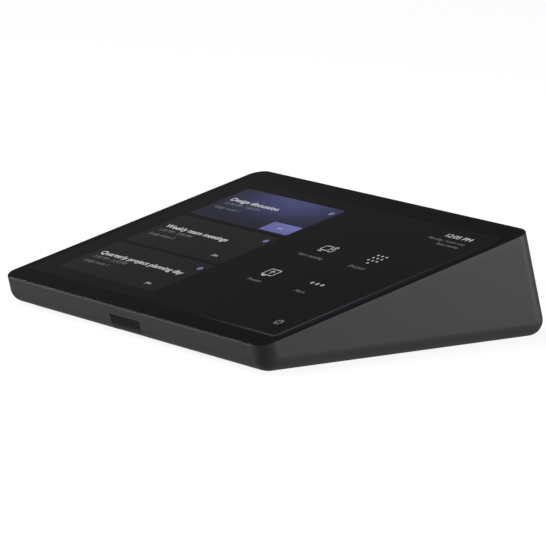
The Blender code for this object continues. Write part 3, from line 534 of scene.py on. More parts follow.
@dataclass(frozen=True)
class MouldedPlastic(Finish):
    """Moulded plastic with mould grain, painted shade in the grain's pits, slow blotches of sheen and a
    little dust.
    """

    roughness: float = 0.5
    grain_scale: float = 2600.0
    bump: float = 0.25
    depth: float = 0.03 * MM
    dust: float = 0.04
    specular: float = 0.5

    def build(self) -> bpy.types.Material:
        """Make the material."""
        made, wire, shader, where = self.start()
        grain = self.pattern(wire, Pattern.GRAIN, where, Scale=self.grain_scale)
        dust = self.pattern(wire, Pattern.DUST, where, Scale=520.0, Amount=self.dust)
        body = wire.mix(grain.outputs["Blotch"], self.shade(0.975), self.shade(1.025))
        # painted shade: the grain's low spots are darkened towards 0.72 of the colour
        pit_shaded = wire.mix(wire.math("MULTIPLY", grain.outputs["Pits"], 0.35), body, self.shade(0.72))
        dusty = wire.mix(wire.math("MULTIPLY", dust.outputs["Specks"], 0.25), pit_shaded, (0.42, 0.41, 0.39, 1.0))
        rough = wire.span(grain.outputs["Blotch"], 0.0, 1.0, self.roughness - 0.010, self.roughness + 0.015)
        bump = wire.node("ShaderNodeBump", Strength=self.bump, Distance=self.depth,
                         Height=grain.outputs["Height"])
        wire.feed(shader, Base_Color=dusty, Roughness=rough, Normal=bump.outputs[0],
                  Specular_IOR_Level=self.specular)
        return made


@dataclass(frozen=True)
class PolishedGlass(Finish):
    """Black printed cover glass: polished, with faint smears and a few specks."""

    roughness: float = 0.045
    specular: float = 0.5
    glow: Colour = (0.0, 0.0, 0.0)
    strength: float = 0.0

    def build(self) -> bpy.types.Material:
        """Make the material."""
        made, wire, shader, where = self.start()
        smear = self.pattern(wire, Pattern.SMUDGE, where).outputs["Smear"]
        specks = self.pattern(wire, Pattern.DUST, where, Scale=300.0, Amount=0.03).outputs["Specks"]
        body = wire.mix(wire.math("MULTIPLY", specks, 0.10), self.shade(1.0), (0.40, 0.40, 0.42, 1.0))
        rough = wire.span(smear, 0.0, 1.0, self.roughness, self.roughness + 0.10)
        wire.feed(shader, Base_Color=body, Roughness=rough, Specular_IOR_Level=self.specular)
        if self.strength:
            wire.feed(shader, Emission_Color=(*self.glow, 1.0), Emission_Strength=self.strength)
        return made


@dataclass(frozen=True)
class LitFilm(Finish):
    """A lit area of the screen under the glass: it glows, and it shines as the glass does.

    The glow runs between two colours along the slope, and fades across, so the
    colour at a point is the mix of low and high by two smooth steps.
    """

    low: Colour = (1.0, 1.0, 1.0)
    high: Colour = (1.0, 1.0, 1.0)
    across: tuple[float, float] = (0.0, 1.0)
    along: tuple[float, float] = (0.0, 1.0)
    fade: tuple[float, float] | None = None
    strength: float = 1.0
    specular: float = 0.5

    def build(self) -> bpy.types.Material:
        """Make the material."""
        made, wire, shader, where = self.start()
        parts = wire.node("ShaderNodeSeparateXYZ", Vector=where)
        rise = wire.span(parts.outputs["Y"], *self.along)
        run = wire.span(parts.outputs["X"], *self.across)
        share = wire.math("MULTIPLY", rise, run)
        if self.fade:
            share = wire.math("MULTIPLY", share, wire.span(parts.outputs["X"], *self.fade, 1.0, 0.0))
        tiny = wire.noise(where, 5200.0, 1.0)
        glow = wire.mix(share, (*self.low, 1.0), (*self.high, 1.0))
        dimmed = wire.mix(wire.span(tiny, 0.3, 0.7, 0.0, 0.06), glow, (0.0, 0.0, 0.0, 1.0))
        smear = self.pattern(wire, Pattern.SMUDGE, where).outputs["Smear"]
        wire.feed(shader, Emission_Color=dimmed, Emission_Strength=self.strength,
                  Roughness=wire.span(smear, 0.0, 1.0, 0.045, 0.145), Base_Color=self.shade(1.0),
                  Specular_IOR_Level=self.specular)
        return made


@dataclass(frozen=True)
class Metal(Finish):
    """Rolled, turned or cast metal with streaks in its shade and sheen."""

    roughness: float = 0.35
    streak_scale: float = 900.0
    metallic: float = 1.0

    def build(self) -> bpy.types.Material:
        """Make the material."""
        made, wire, shader, where = self.start()
        streak = self.pattern(wire, Pattern.BRUSH, where, Scale=self.streak_scale).outputs["Streak"]
        body = wire.mix(streak, self.shade(0.82), self.shade(1.08))
        rough = wire.span(streak, 0.25, 0.75, self.roughness - 0.07, self.roughness + 0.10)
        bump = wire.node("ShaderNodeBump", Strength=0.15, Distance=0.01 * MM, Height=streak)
        wire.feed(shader, Base_Color=body, Roughness=rough, Normal=bump.outputs[0], Metallic=self.metallic)
        return made


def build_slot_finishes() -> dict[str, bpy.types.Material]:
    """One material for each slot of the record."""
    finishes = [
        MouldedPlastic("housing_plastic", (0.050, 0.050, 0.0515), roughness=0.50),
        PolishedGlass("glass_black", (0.0045, 0.0045, 0.0050)),
        MouldedPlastic("window_plastic", (0.010, 0.010, 0.011), roughness=0.34, bump=0.08, dust=0.02,
                       specular=0.14),
        MouldedPlastic("base_plastic", (0.028, 0.028, 0.030), roughness=0.58, grain_scale=1500.0, bump=0.4),
        MouldedPlastic("foot_rubber", (0.014, 0.014, 0.014), roughness=0.80, grain_scale=1200.0, bump=0.5,
                       dust=0.14, specular=0.3),
        Metal("screw_steel", (0.16, 0.16, 0.17), roughness=0.38, streak_scale=2400.0),
        Metal("sheet_steel", (0.52, 0.52, 0.51), roughness=0.36),
        Metal("ballast_iron", (0.12, 0.12, 0.12), roughness=0.62, streak_scale=500.0, metallic=0.7),
        Metal("heat_aluminium", (0.76, 0.76, 0.77), roughness=0.33),
        Metal("insert_brass", (0.72, 0.52, 0.23), roughness=0.32, streak_scale=2600.0),
        MouldedPlastic("board_laminate", (0.015, 0.085, 0.040), roughness=0.42, grain_scale=900.0, bump=0.3),
        MouldedPlastic("flex_film", (0.34, 0.17, 0.035), roughness=0.35, grain_scale=700.0, bump=0.1),
        MouldedPlastic("adhesive_foam", (0.02, 0.02, 0.02), roughness=0.9, grain_scale=1800.0, bump=0.6),
        MouldedPlastic("backlight_plastic", (0.60, 0.60, 0.58), roughness=0.4, bump=0.1),
        PolishedGlass("panel_film", (0.03, 0.03, 0.04), roughness=0.15),
        Metal("socket_metal", (0.56, 0.56, 0.57), roughness=0.28, streak_scale=1500.0),
        MouldedPlastic("socket_plastic", (0.02, 0.02, 0.02), roughness=0.45, bump=0.1),
        Metal("sensor_metal", (0.62, 0.62, 0.60), roughness=0.30, streak_scale=2000.0),
    ]
    return {finish.name: finish.build() for finish in finishes}


def dress(piece: bpy.types.Object, material: bpy.types.Material) -> None:
    """Give an object one material."""
    piece.data.materials.clear()
    piece.data.materials.append(material)


def hand_over(piece: bpy.types.Object, body: str, material: bpy.types.Material,
              nodes: tuple[str, ...] = ()) -> None:
    """Dress a finished piece, set it on its body and hide the nodes that it stands for.

    Args:
        piece: The piece, with its place in its mesh.
        body: The body that it moves with.
        material: Its finish.
        nodes: The solids that it replaces.
    """
    dress(piece, material)
    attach(piece, body)
    if nodes:
        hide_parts(*nodes)
    LOG.info("piece %s on %s, %d faces", piece.name, body, len(piece.data.polygons))


# ---------------------------------------------------------------- housing


@dataclass
class Housing:
    """The moulded shell, drawn as one closed surface from the rim round to the rim again."""

    wedge: Wedge
    rim_width: float = 0.26 * MM
    rim_depth: float = 0.42 * MM
    rim_inner: float = 0.38 * MM
    rim_drop: float = 0.42 * MM
    wall: float = 2.2 * MM
    ledge: float = 2.0 * MM
    floor: float = 4.6 * MM
    seat_depth: float = 2.8 * MM
    seat_gap: float = 0.3 * MM
    seat_overlap: float = 10.2 * MM
    seat_radius: float = 8.0 * MM
    flange_radius: float = 6.0 * MM
    rim_tuck: float = 0.02 * MM
    edge_break: float = 0.25 * MM
    rim_steps: int = 8
    side_steps: int = 8
    fillet_steps: int = 20

    def rings(self) -> np.ndarray:
        """Every ring of the shell, in order, as one grid."""
        wedge = self.wedge
        turn = np.linspace(np.pi / 2, 0, self.rim_steps + 1)
        rings = [wedge.deck_ring(self.rim_inner, -self.rim_drop - self.rim_tuck)]
        rings += [wedge.deck_ring(self.rim_width * (1 - math.cos(a)),
                                  -self.rim_drop - self.rim_depth * (1 - math.sin(a))) for a in turn]
        rings += self.between(rings[-1], wedge.fillet_ring(0.0), self.side_steps)
        rings += [wedge.fillet_ring(share) for share in np.linspace(0, 1, self.fillet_steps + 1)]
        rings += self.seat_rings()
        inner = [wedge.fillet_ring(share, self.wall, self.floor) for share in np.linspace(1, 0, 9)]
        rings += inner
        under_ledge = wedge.deck_ring(self.wall, -self.ledge)
        rings += self.between(inner[-1], under_ledge, 2)
        rings += [under_ledge, wedge.deck_ring(self.rim_inner, -self.ledge)]
        return np.array(rings)

    def between(self, first: np.ndarray, last: np.ndarray, steps: int) -> list[np.ndarray]:
        """Rings spread evenly between two rings, without the two themselves."""
        return [first + (last - first) * share for share in np.linspace(0, 1, steps + 2)[1:-1]]

    def seat_rings(self) -> list[np.ndarray]:
        """The stepped opening in the underside, where the base plate sits."""
        low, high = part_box("base_plate")
        width, depth = high.x - low.x + 2 * self.seat_gap, high.y - low.y + 2 * self.seat_gap
        middle, step = (low.y + high.y) / 2, self.edge_break
        across, along = width - 2 * self.seat_overlap, depth - 2 * self.seat_overlap
        ring = self.wedge.level_ring
        return [ring(width + 2 * step, depth + 2 * step, self.seat_radius + step, middle, 0),
                ring(width + 0.5 * step, depth + 0.5 * step, self.seat_radius, middle, 0.3 * step),
                ring(width, depth, self.seat_radius, middle, step),
                ring(width, depth, self.seat_radius, middle, self.seat_depth),
                ring(across, along, self.flange_radius, middle, self.seat_depth),
                ring(across, along, self.flange_radius, middle, self.floor)]

    def build(self, materials: dict[str, bpy.types.Material], cutters: list[bpy.types.Object]) -> None:
        """Make the shell, cut its openings and hand it over."""
        mesh = grid_mesh("housing", self.rings(), wrap_rows=True)
        tidy_mesh(mesh)
        piece = add_object("housing", mesh)
        carve(piece, cutters)
        tidy_mesh(piece.data, sharp=32.0)
        hand_over(piece, "root", materials["housing_plastic"], ("housing_shell",))


@dataclass
class RearOpenings:
    """The tools that cut the cable outlet, the lock slot and the pad's clearance."""

    wedge: Wedge
    outlet_radius: float = 2.5 * MM
    outlet_top: float = 12.0 * MM
    outlet_width: float = 28.0 * MM
    slot_width: float = 7.0 * MM
    slot_height: float = 3.0 * MM
    slot_drop: float = 30.0 * MM
    reach_in: float = 24.0 * MM
    reach_out: float = 8.0 * MM
    pad_width: float = 106.6 * MM
    pad_depth: float = 70.0 * MM
    pad_setback: float = 0.7 * MM
    pad_heights: tuple[float, float] = (2.9 * MM, 6.0 * MM)

    def tools(self) -> list[bpy.types.Object]:
        """Every cutter, each a closed solid."""
        return [self.outlet(), self.lock_slot(), self.pad()]

    def outlet(self) -> bpy.types.Object:
        """A tunnel with rounded upper corners, run along Y through the back wall."""
        reach = self.outlet_top + self.reach_out
        points, _ = rounded_outline(self.outlet_width, reach, self.outlet_radius, 10)
        back = CAD_BOX[1].y
        rings = [np.c_[points[:, 0], np.full(len(points), y),
                       points[:, 1] + self.wedge.base_height + self.outlet_top - reach / 2]
                 for y in (back - self.reach_in, back + self.reach_out)]
        return closed_tool("outlet_tool", np.array(rings))

    def lock_slot(self) -> bpy.types.Object:
        """A slot with round ends, square to the back wall."""
        low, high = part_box("lock_plate")
        deck = self.wedge.deck
        points, _ = rounded_outline(self.slot_width, self.slot_height, self.slot_height / 2 - 0.01 * MM, 8)
        middle = (low.x + high.x) / 2
        rings = [deck.place(np.c_[points[:, 0] + middle, np.full(len(points), deck.length + out),
                                  points[:, 1] - self.slot_drop]) for out in (-5 * MM, 3 * MM)]
        return closed_tool("lock_slot_tool", np.array(rings))

    def pad(self) -> bpy.types.Object:
        """Room for the base plate's thick pad in the shell's inner flange."""
        base = self.wedge.base_height
        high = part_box("base_plate")[1]
        points, _ = rounded_outline(self.pad_width, self.pad_depth, 1 * MM, 3)
        points = points + np.array([0, high.y - self.pad_setback - self.pad_depth / 2])
        rings = [lifted(points, base + height) for height in self.pad_heights]
        return closed_tool("pad_tool", np.array(rings))


@dataclass
class SensorWindow:
    """The dark window that wraps from the front face over the fillet.

    Across, it runs from its left to its right side. Its upper corners are
    round: within one radius of the top, each side is drawn in by the radius
    less the root of radius squared minus the height left squared.
    """

    wedge: Wedge
    corner: float = 1.2 * MM
    sink: float = 0.10 * MM
    thickness: float = 1.2 * MM
    gap: float = 0.16 * MM
    top_drop: float = 4.6 * MM
    end_share: float = 0.90
    across_steps: int = 24
    curve_count: int = 30
    wall_steps: int = 11
    push_out: float = 0.4
    push_in: float = 0.75

    def __post_init__(self) -> None:
        """Find the window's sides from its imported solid."""
        low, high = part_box("sensor_window")
        self.left, self.right = low.x, high.x

    def profile(self, sink: float, top_drop: float, end_share: float) -> tuple[np.ndarray, np.ndarray]:
        """The front profile, from the window's top round the fillet, and the length run so far.

        Args:
            sink: How far the surface lies inside the housing's.
            top_drop: Drop of the top below the glass plane.
            end_share: Where the profile ends on the fillet.

        Returns:
            Points (y and z in the part's frame) and their running length.
        """
        deck, ball = self.wedge.deck, self.wedge.fillet - sink
        count = self.curve_count
        edge = np.tile([[0.0, sink]], (count, 1))
        normal = np.tile([[0.0, -1.0]], (count, 1))
        curve = self.wedge.rolled(edge, normal, ball, sink, np.linspace(0, end_share, count))
        top = deck.place(np.array([[0, sink, -top_drop]]))
        wall = top + (curve[:1] - top) * np.linspace(0, 1, self.wall_steps + 1)[:-1, None]
        points = np.concatenate([wall, curve])[:, 1:]
        run = np.r_[0, np.cumsum(np.linalg.norm(np.diff(points, axis=0), axis=1))]
        return points, run

    def sheet(self, sink: float, grow: float, end_share: float) -> np.ndarray:
        """The window's surface as a grid, grown outwards by a margin."""
        points, run = self.profile(sink, self.top_drop - grow, end_share)
        radius = self.corner + grow
        left_over = np.clip(radius - run, 0, radius)
        pull = radius - np.sqrt(radius ** 2 - left_over ** 2)
        middle, half = (self.left + self.right) / 2, (self.right - self.left) / 2 + grow
        share = np.sin(np.linspace(-np.pi / 2, np.pi / 2, self.across_steps))
        x = middle + (half - pull)[:, None] * share[None, :]
        grid = np.empty((*x.shape, 3))
        grid[..., 0] = x
        grid[..., 1:] = points[:, None, :]
        return grid

    def cutter(self) -> bpy.types.Object:
        """The tool that cuts the window's opening: the grown surface, outside and inside the wall."""
        outside = self.sheet(0.0, self.gap, 1.0)
        middle = np.array([0.0, self.wedge.deck.origin[1] + 12 * MM, self.wedge.base_height + 9 * MM])
        push = outside - middle
        push[..., 0] = 0
        rings = np.array([outside + push * self.push_out, outside - push * self.push_in])
        shape = np.array([self.border(ring) for ring in rings])
        mesh = grid_mesh("window_tool", shape)
        self.cap(mesh, rings)
        tidy_mesh(mesh, merge=1e-6)
        return add_object("window_tool", mesh)

    def border(self, grid: np.ndarray) -> np.ndarray:
        """The points round the border of a grid, in order."""
        return np.concatenate([grid[0, :-1], grid[:-1, -1], grid[-1, :0:-1], grid[:0:-1, 0]])

    def cap(self, mesh: bpy.types.Mesh, grids: np.ndarray) -> None:
        """Close the two ends of a border tube with the grids themselves."""
        bm = bmesh.new()
        bm.from_mesh(mesh)
        for grid in grids:
            end = grid_mesh("end", grid, wrap_columns=False)
            bm.from_mesh(end)
            bpy.data.meshes.remove(end)
        bmesh.ops.remove_doubles(bm, verts=bm.verts, dist=1e-7)
        bm.to_mesh(mesh)
        bm.free()

    def build(self, materials: dict[str, bpy.types.Material]) -> None:
        """Make the window as a thin shell with rounded upper corners."""
        mesh = grid_mesh("window", self.sheet(self.sink, 0.0, self.end_share), wrap_columns=False)
        tidy_mesh(mesh)
        if mesh.polygons[len(mesh.polygons) // 3].normal.y > 0:
            mesh.flip_normals()
        piece = add_object("window", mesh)
        shell = piece.modifiers.new("wall", "SOLIDIFY")
        shell.thickness = self.thickness
        shell.offset = -1
        hand_over(piece, "root", materials["window_plastic"], ("sensor_window",))


@dataclass
class CoverGlass:
    """The full-width black glass with a polished, rounded edge."""

    wedge: Wedge
    inset: float = 0.46 * MM
    edge_radius: float = 0.08 * MM
    steps: int = 6

    def build(self, materials: dict[str, bpy.types.Material]) -> None:
        """Make the glass: a rounded edge carried round the outline, and two flat faces."""
        turn = np.linspace(0, np.pi / 2, self.steps + 1)
        rings = [self.wedge.deck_ring(self.inset, -GLASS_THICKNESS)]
        rings += [self.wedge.deck_ring(self.inset + self.edge_radius * (1 - math.cos(a)),
                                       -self.edge_radius * (1 - math.sin(a))) for a in turn]
        mesh = grid_mesh("cover_glass", np.array(rings), caps=True)
        tidy_mesh(mesh, sharp=40.0)
        hand_over(add_object("cover_glass", mesh), "root", materials["glass_black"],
                  ("touch_glass",))


# ---------------------------------------------------------------- screen


class Anchor(Enum):
    """Which side of a line of writing is set at its u."""

    LEFT = "LEFT"
    CENTRE = "CENTER"
    RIGHT = "RIGHT"


@dataclass
class Screen:
    """Everything the lit screen shows, as thin layers just over the glass."""

    deck: Deck
    finishes: dict[str, bpy.types.Material] = field(default_factory=dict)

    LEFT = -114.0 * MM
    RIGHT = 114.0 * MM
    BOTTOM = 13.2 * MM
    TOP = 155.8 * MM
    CARD_LEFT = -98.8 * MM
    CARD_RIGHT = -8.4 * MM
    CARDS = ((107.6 * MM, 147.2 * MM), (65.0 * MM, 104.2 * MM), (22.6 * MM, 61.9 * MM))
    CARD_RADIUS = 1.6 * MM
    EDGE_START = 18.0 * MM

    def __post_init__(self) -> None:
        """Make the screen's finishes."""
        base = (0.004, 0.004, 0.0045)
        origin_y = self.deck.origin[1]
        across = math.cos(self.deck.tilt)

        def height(v: float) -> float:
            return origin_y + v * across

        low, high = self.CARDS[0]
        finishes = [
            PolishedGlass("screen_black", (0.0030, 0.0030, 0.0033), glow=(0.0032, 0.0032, 0.0031),
                          strength=1.0),
            LitFilm("card_grey", base, low=(0.0112,) * 3, high=(0.0128,) * 3, across=(-0.10, -0.01),
                    along=(height(0.02), height(0.11))),
            LitFilm("card_next", base, low=(0.0165, 0.0170, 0.0300), high=(0.064, 0.068, 0.180),
                    across=(self.CARD_LEFT - 0.012, -0.048), fade=(-0.050, 0.012),
                    along=(height(low + 0.002), height(high + 0.003))),
            LitFilm("button_lit", base, low=(0.12, 0.125, 0.32), high=(0.165, 0.17, 0.40),
                    across=(-0.037, -0.009), along=(height(0.107), height(0.121))),
            LitFilm("writing_bright", base, low=(0.66,) * 3, high=(0.72,) * 3),
            LitFilm("writing_dim", base, low=(0.17,) * 3, high=(0.20,) * 3),
            LitFilm("button_word", base, low=(0.36, 0.36, 0.66), high=(0.40, 0.40, 0.72)),
            LitFilm("mark_blue", base, low=(0.20, 0.20, 0.44), high=(0.22, 0.22, 0.48)),
            LitFilm("icon_white", base, low=(0.47,) * 3, high=(0.52,) * 3),
            LitFilm("edge_line", base, low=(0.0005, 0.0005, 0.0010), high=(0.034, 0.033, 0.042),
                    across=(0.035, 0.118), along=(height(0.175), height(0.020))),
            LitFilm("edge_band", base, low=(0.0002, 0.0002, 0.0005), high=(0.0035, 0.0030, 0.0085),
                    across=(0.02, 0.112), along=(height(0.150), height(0.060))),
        ]
        self.finishes = {finish.name: finish.build() for finish in finishes}

    def add(self, name: str, mesh: bpy.types.Mesh, finish: str, u: float, v: float, layer: int) -> None:
        """Set a flat mesh on the deck at a layer and hand it over."""
        mesh.transform(self.deck.matrix(u, v, layer * LAYER))
        tidy_mesh(mesh, sharp=25.0)
        hand_over(add_object(name, mesh), "root", self.finishes[finish])

    def pane(self, width: float, height: float, radius: float, steps: int = 6) -> bpy.types.Mesh:
        """A thin rounded rectangle about the origin, one layer thick, with its edge feathered out."""
        points, normals = rounded_outline(width, height, radius, steps)
        rings = np.array([lifted(points + normals * FEATHER, SKIRT),
                          lifted(points, 0.0)])
        return grid_mesh("pane", rings, caps=True)

    def loop(self, width: float, height: float, radius: float, stroke: float, steps: int = 6,
             shift: tuple[float, float] = (0.0, 0.0)) -> bpy.types.Mesh:
        """A thin closed line round a rounded rectangle: four rings joined end to end."""
        outer, normals = rounded_outline(width, height, radius, steps)
        inner = outer - normals * stroke
        spread = normals * FEATHER
        rings = [lifted(points + np.array(shift), z)
                 for points, z in ((outer + spread, SKIRT), (outer, 0.0), (inner, 0.0),
                                   (inner - spread, SKIRT))]
        return grid_mesh("loop", np.array(rings), wrap_rows=True)

    def stroke(self, route: list[tuple[float, float]], width: float) -> bpy.types.Mesh:
        """A thin line of even width along a route, with square ends.

        Its two sides are the route moved by half the width along the normals,
        which at each point are square to the mean of the two runs that meet.
        """
        points = np.array(route, float)
        runs = np.diff(points, axis=0)
        runs /= np.linalg.norm(runs, axis=1)[:, None]
        mean = np.concatenate([runs[:1], runs[:-1] + runs[1:], runs[-1:]])
        mean /= np.linalg.norm(mean, axis=1)[:, None]
        side = np.stack([-mean[:, 1], mean[:, 0]], axis=1) * width / 2
        spread = side * (1 + 2 * FEATHER / width)
        corners = [(points + side, 0.0), (points + spread, SKIRT), (points - spread, SKIRT),
                   (points - side, 0.0)]
        tube = np.stack([lifted(line, z) for line, z in corners], axis=1)
        return grid_mesh("stroke", tube, caps=True)

    def joined(self, *meshes: bpy.types.Mesh) -> bpy.types.Mesh:
        """Several meshes as one."""
        bm = bmesh.new()
        for mesh in meshes:
            bm.from_mesh(mesh)
            bpy.data.meshes.remove(mesh)
        made = bpy.data.meshes.new("joined")
        bm.to_mesh(made)
        bm.free()
        return made

    def moved(self, mesh: bpy.types.Mesh, u: float, v: float) -> bpy.types.Mesh:
        """The same mesh, moved on the deck."""
        mesh.transform(Matrix.Translation((u, v, 0)))
        return mesh

    def write(self, name: str, words: str, size: float, finish: str, u: float, v: float,
              anchor: Anchor = Anchor.LEFT, weight: float = 0.0, layer: int = 3,
              stretch: float = 1.06) -> None:
        """A line of writing, as a thin mesh.

        Args:
            name: Name of the piece.
            words: What it says.
            size: Height of the writing.
            finish: Its finish.
            u: Where its anchor is.
            v: Its base line.
            anchor: The side that u gives.
            weight: How much its strokes are thickened.
            layer: Its layer over the glass.
            stretch: How much wider it is than the font's own letters.
        """
        curve = bpy.data.curves.new(name, "FONT")
        curve.body = words
        curve.size = size
        curve.align_x = anchor.value
        curve.offset = weight
        curve.extrude = 0.45 * LAYER
        curve.resolution_u = 3
        holder = add_object(name + "_curve", curve)
        mesh = evaluated_mesh(holder)
        bpy.data.objects.remove(holder)
        mesh.transform(Matrix.Diagonal((stretch, 1, 1, 1)))
        self.add(name, mesh, finish, u, v, layer)

    def build(self) -> None:
        """Build the whole picture."""
        self.background()
        self.cards()
        self.clock()
        self.icons()

    def background(self) -> None:
        """The dark lit area, the thin bright line at its edge and the soft band beyond."""
        width, height = self.RIGHT - self.LEFT, self.TOP - self.BOTTOM
        middle = (self.LEFT + self.RIGHT) / 2, (self.TOP + self.BOTTOM) / 2
        self.add("screen_area", self.pane(width, height, 0.4 * MM), "screen_black", *middle, 1)
        out, low, turn = self.RIGHT + 0.4 * MM, self.BOTTOM - 0.3 * MM, 0.6 * MM
        edge = [(self.EDGE_START, low), (out - turn, low), (out - 0.3 * turn, low + 0.3 * turn),
                (out, low + turn), (out, self.TOP)]
        self.add("screen_edge", self.stroke(edge, 1.6 * MM), "edge_line", 0, 0, 2)
        band = self.pane(2.2 * MM, 137 * MM, 1.0 * MM)
        self.add("screen_band_side", band, "edge_band", self.RIGHT + 2.8 * MM, self.BOTTOM + 68 * MM, 1)

    def cards(self) -> None:
        """Three meeting cards; the next meeting's is tinted and has a button."""
        words = (("Design discussion", "12:30 PM - 1:00 PM", "Large room 1"),
                 ("Weekly team meetings", "1:30 PM - 2:00 PM", "Large room 2"),
                 ("Quarterly project planning day", "3:00 PM - 3:30 PM", "Large room 1"))
        width, middle = self.CARD_RIGHT - self.CARD_LEFT, (self.CARD_LEFT + self.CARD_RIGHT) / 2
        for index, ((low, high), lines) in enumerate(zip(self.CARDS, words), 1):
            finish = "card_next" if index == 1 else "card_grey"
            pane = self.pane(width, high - low, self.CARD_RADIUS)
            self.add(f"card_{index}", pane, finish, middle, (low + high) / 2, 2)
            left = self.CARD_LEFT + 5.4 * MM
            self.write(f"card_{index}_title", lines[0], 5.4 * MM, "writing_bright", left, high - 16.5 * MM,
                       weight=0.05 * MM, stretch=1.15)
            for part, words_dim, across, drop in (("time", lines[1], 0.6 * MM, 21.4 * MM),
                                                  ("room", lines[2], 0.4 * MM, 27.2 * MM)):
                self.write(f"card_{index}_{part}", words_dim, 3.9 * MM, "writing_dim", left + across,
                           high - drop)
            dot = self.joined(self.loop(3.4 * MM, 3.4 * MM, 1.69 * MM, 0.7 * MM),
                              self.pane(1.4 * MM, 1.4 * MM, 0.69 * MM))
            self.add(f"card_{index}_mark", dot, "mark_blue", -13.2 * MM, high - 6.0 * MM, 3)
            if index > 1:
                self.write(f"card_{index}_join", "Join", 2.9 * MM, "icon_white", -22.4 * MM, low + 6.2 * MM,
                           Anchor.CENTRE, weight=0.06 * MM)
        low = self.CARDS[0][0]
        self.add("join_button", self.pane(25.4 * MM, 11.0 * MM, 1.2 * MM), "button_lit", -22.2 * MM,
                 low + 6.6 * MM, 3)
        self.write("join_word", "Join", 2.8 * MM, "button_word", -22.2 * MM, low + 5.6 * MM, Anchor.CENTRE,
                   weight=0.05 * MM, layer=4)

    def clock(self) -> None:
        """The time and two dim lines under it, set right."""
        edge = 103.2 * MM
        self.write("clock_time", "12:05 PM", 5.1 * MM, "writing_bright", edge - 1.6 * MM, 145.1 * MM,
                   Anchor.RIGHT, stretch=1.15)
        self.write("clock_day", "Monday, room one", 3.4 * MM, "writing_dim", edge, 139.8 * MM, Anchor.RIGHT,
                   stretch=1.16)
        self.write("clock_room", "Seats twelve", 3.4 * MM, "writing_dim", edge, 135.4 * MM, Anchor.RIGHT)

    def icons(self) -> None:
        """Four round-cornered line icons with a word under each, and one small one in the corner."""
        line = 0.60 * MM
        camera = self.joined(
            self.loop(7.0 * MM, 5.6 * MM, 1.3 * MM, line, shift=(-1.4 * MM, 0.2 * MM)),
            self.loop(2.5 * MM, 2.5 * MM, 1.24 * MM, line, shift=(4.4 * MM, 2.4 * MM)),
            self.stroke([(2.8 * MM, 0.1 * MM), (5.8 * MM, 0.1 * MM), (5.8 * MM, -2.2 * MM),
                         (4.4 * MM, -3.2 * MM), (2.9 * MM, -2.5 * MM)], line),
            self.stroke([(-4.4 * MM, -3.9 * MM), (-0.8 * MM, -3.9 * MM)], line))
        self.add("icon_meet", camera, "icon_white", 32.5 * MM, 105.8 * MM, 3)
        spots = [((column - 1) * 3.6 * MM, (1 - row) * 3.2 * MM) for row in range(3) for column in range(3)]
        spots.append((0.0, -6.4 * MM))
        dots = [self.moved(self.pane(1.5 * MM, 1.5 * MM, 0.74 * MM, 4), u, v + 1.2 * MM) for u, v in spots]
        self.add("icon_dial", self.joined(*dots), "icon_white", 72.8 * MM, 106.6 * MM, 3)
        present = self.joined(
            self.loop(9.4 * MM, 7.6 * MM, 1.2 * MM, line),
            self.stroke([(0, -1.8 * MM), (0, 1.7 * MM)], line),
            self.stroke([(-1.6 * MM, 0.3 * MM), (0, 1.9 * MM), (1.6 * MM, 0.3 * MM)], line),
            self.moved(self.pane(3.2 * MM, 1.8 * MM, 0.8 * MM), -1.6 * MM, -4.1 * MM))
        self.add("icon_present", present, "icon_white", 32.5 * MM, 69.6 * MM, 3)
        rings = [self.loop(2.3 * MM, 2.3 * MM, 1.14 * MM, line, 6, ((i - 1) * 4.4 * MM, 0)) for i in range(3)]
        self.add("icon_more", self.joined(*rings), "icon_white", 72.5 * MM, 69.7 * MM, 3)
        for name, word, u, v in (("meet", "Start meeting", 32.4, 93.2), ("dial", "Dial pad", 72.4, 93.6),
                                 ("present", "Present", 32.7, 57.4), ("more", "More", 72.4, 57.6)):
            self.write("label_" + name, word, 3.7 * MM, "writing_dim", u * MM, v * MM, Anchor.CENTRE)
        turns = [index * math.pi / 4 for index in range(8)]
        teeth = [self.stroke([(reach * math.cos(a), reach * math.sin(a)) for reach in (2.0 * MM, 3.0 * MM)],
                             0.8 * MM) for a in turns]
        gear = self.joined(self.loop(4.2 * MM, 4.2 * MM, 2.09 * MM, 0.6 * MM), *teeth)
        self.add("icon_settings", gear, "writing_dim", 99.7 * MM, 26.2 * MM, 3)


# ---------------------------------------------------------------- underside


@dataclass
class Feet:
    """Four rubber feet with softened rims."""

    steps: int = 14
    sole_inset: float = 2.2 * MM
    sole_dish: float = 0.25 * MM
    sole_rim: float = 1.8 * MM
    top_inset: float = 1.5 * MM
    rounding: float = 0.5 * MM

    def build(self, materials: dict[str, bpy.types.Material]) -> None:
        """Carry a rounded side round each foot's outline, and close it top and bottom."""
        for name in ("foot_front_left", "foot_front_right", "foot_back_left", "foot_back_right"):
            low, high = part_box(name)
            width, depth, height = high - low
            middle = (low + high) / 2
            side = rounded_run([(self.sole_inset, self.sole_dish), (self.sole_rim, 0), (0, 0), (0, height),
                                (self.top_inset, height)], self.rounding, 5)
            rings = []
            for inset, z in side:
                points, _ = rounded_outline(width - 2 * inset, depth - 2 * inset,
                                            depth / 2 - inset - 0.05 * MM, self.steps)
                rings.append(lifted(points + np.array([middle.x, middle.y]), low.z + z))
            mesh = grid_mesh(name, np.array(rings), caps=True)
            tidy_mesh(mesh, sharp=50.0)
            hand_over(add_object("rubber_" + name, mesh), "root", materials["foot_rubber"],
                      (name,))


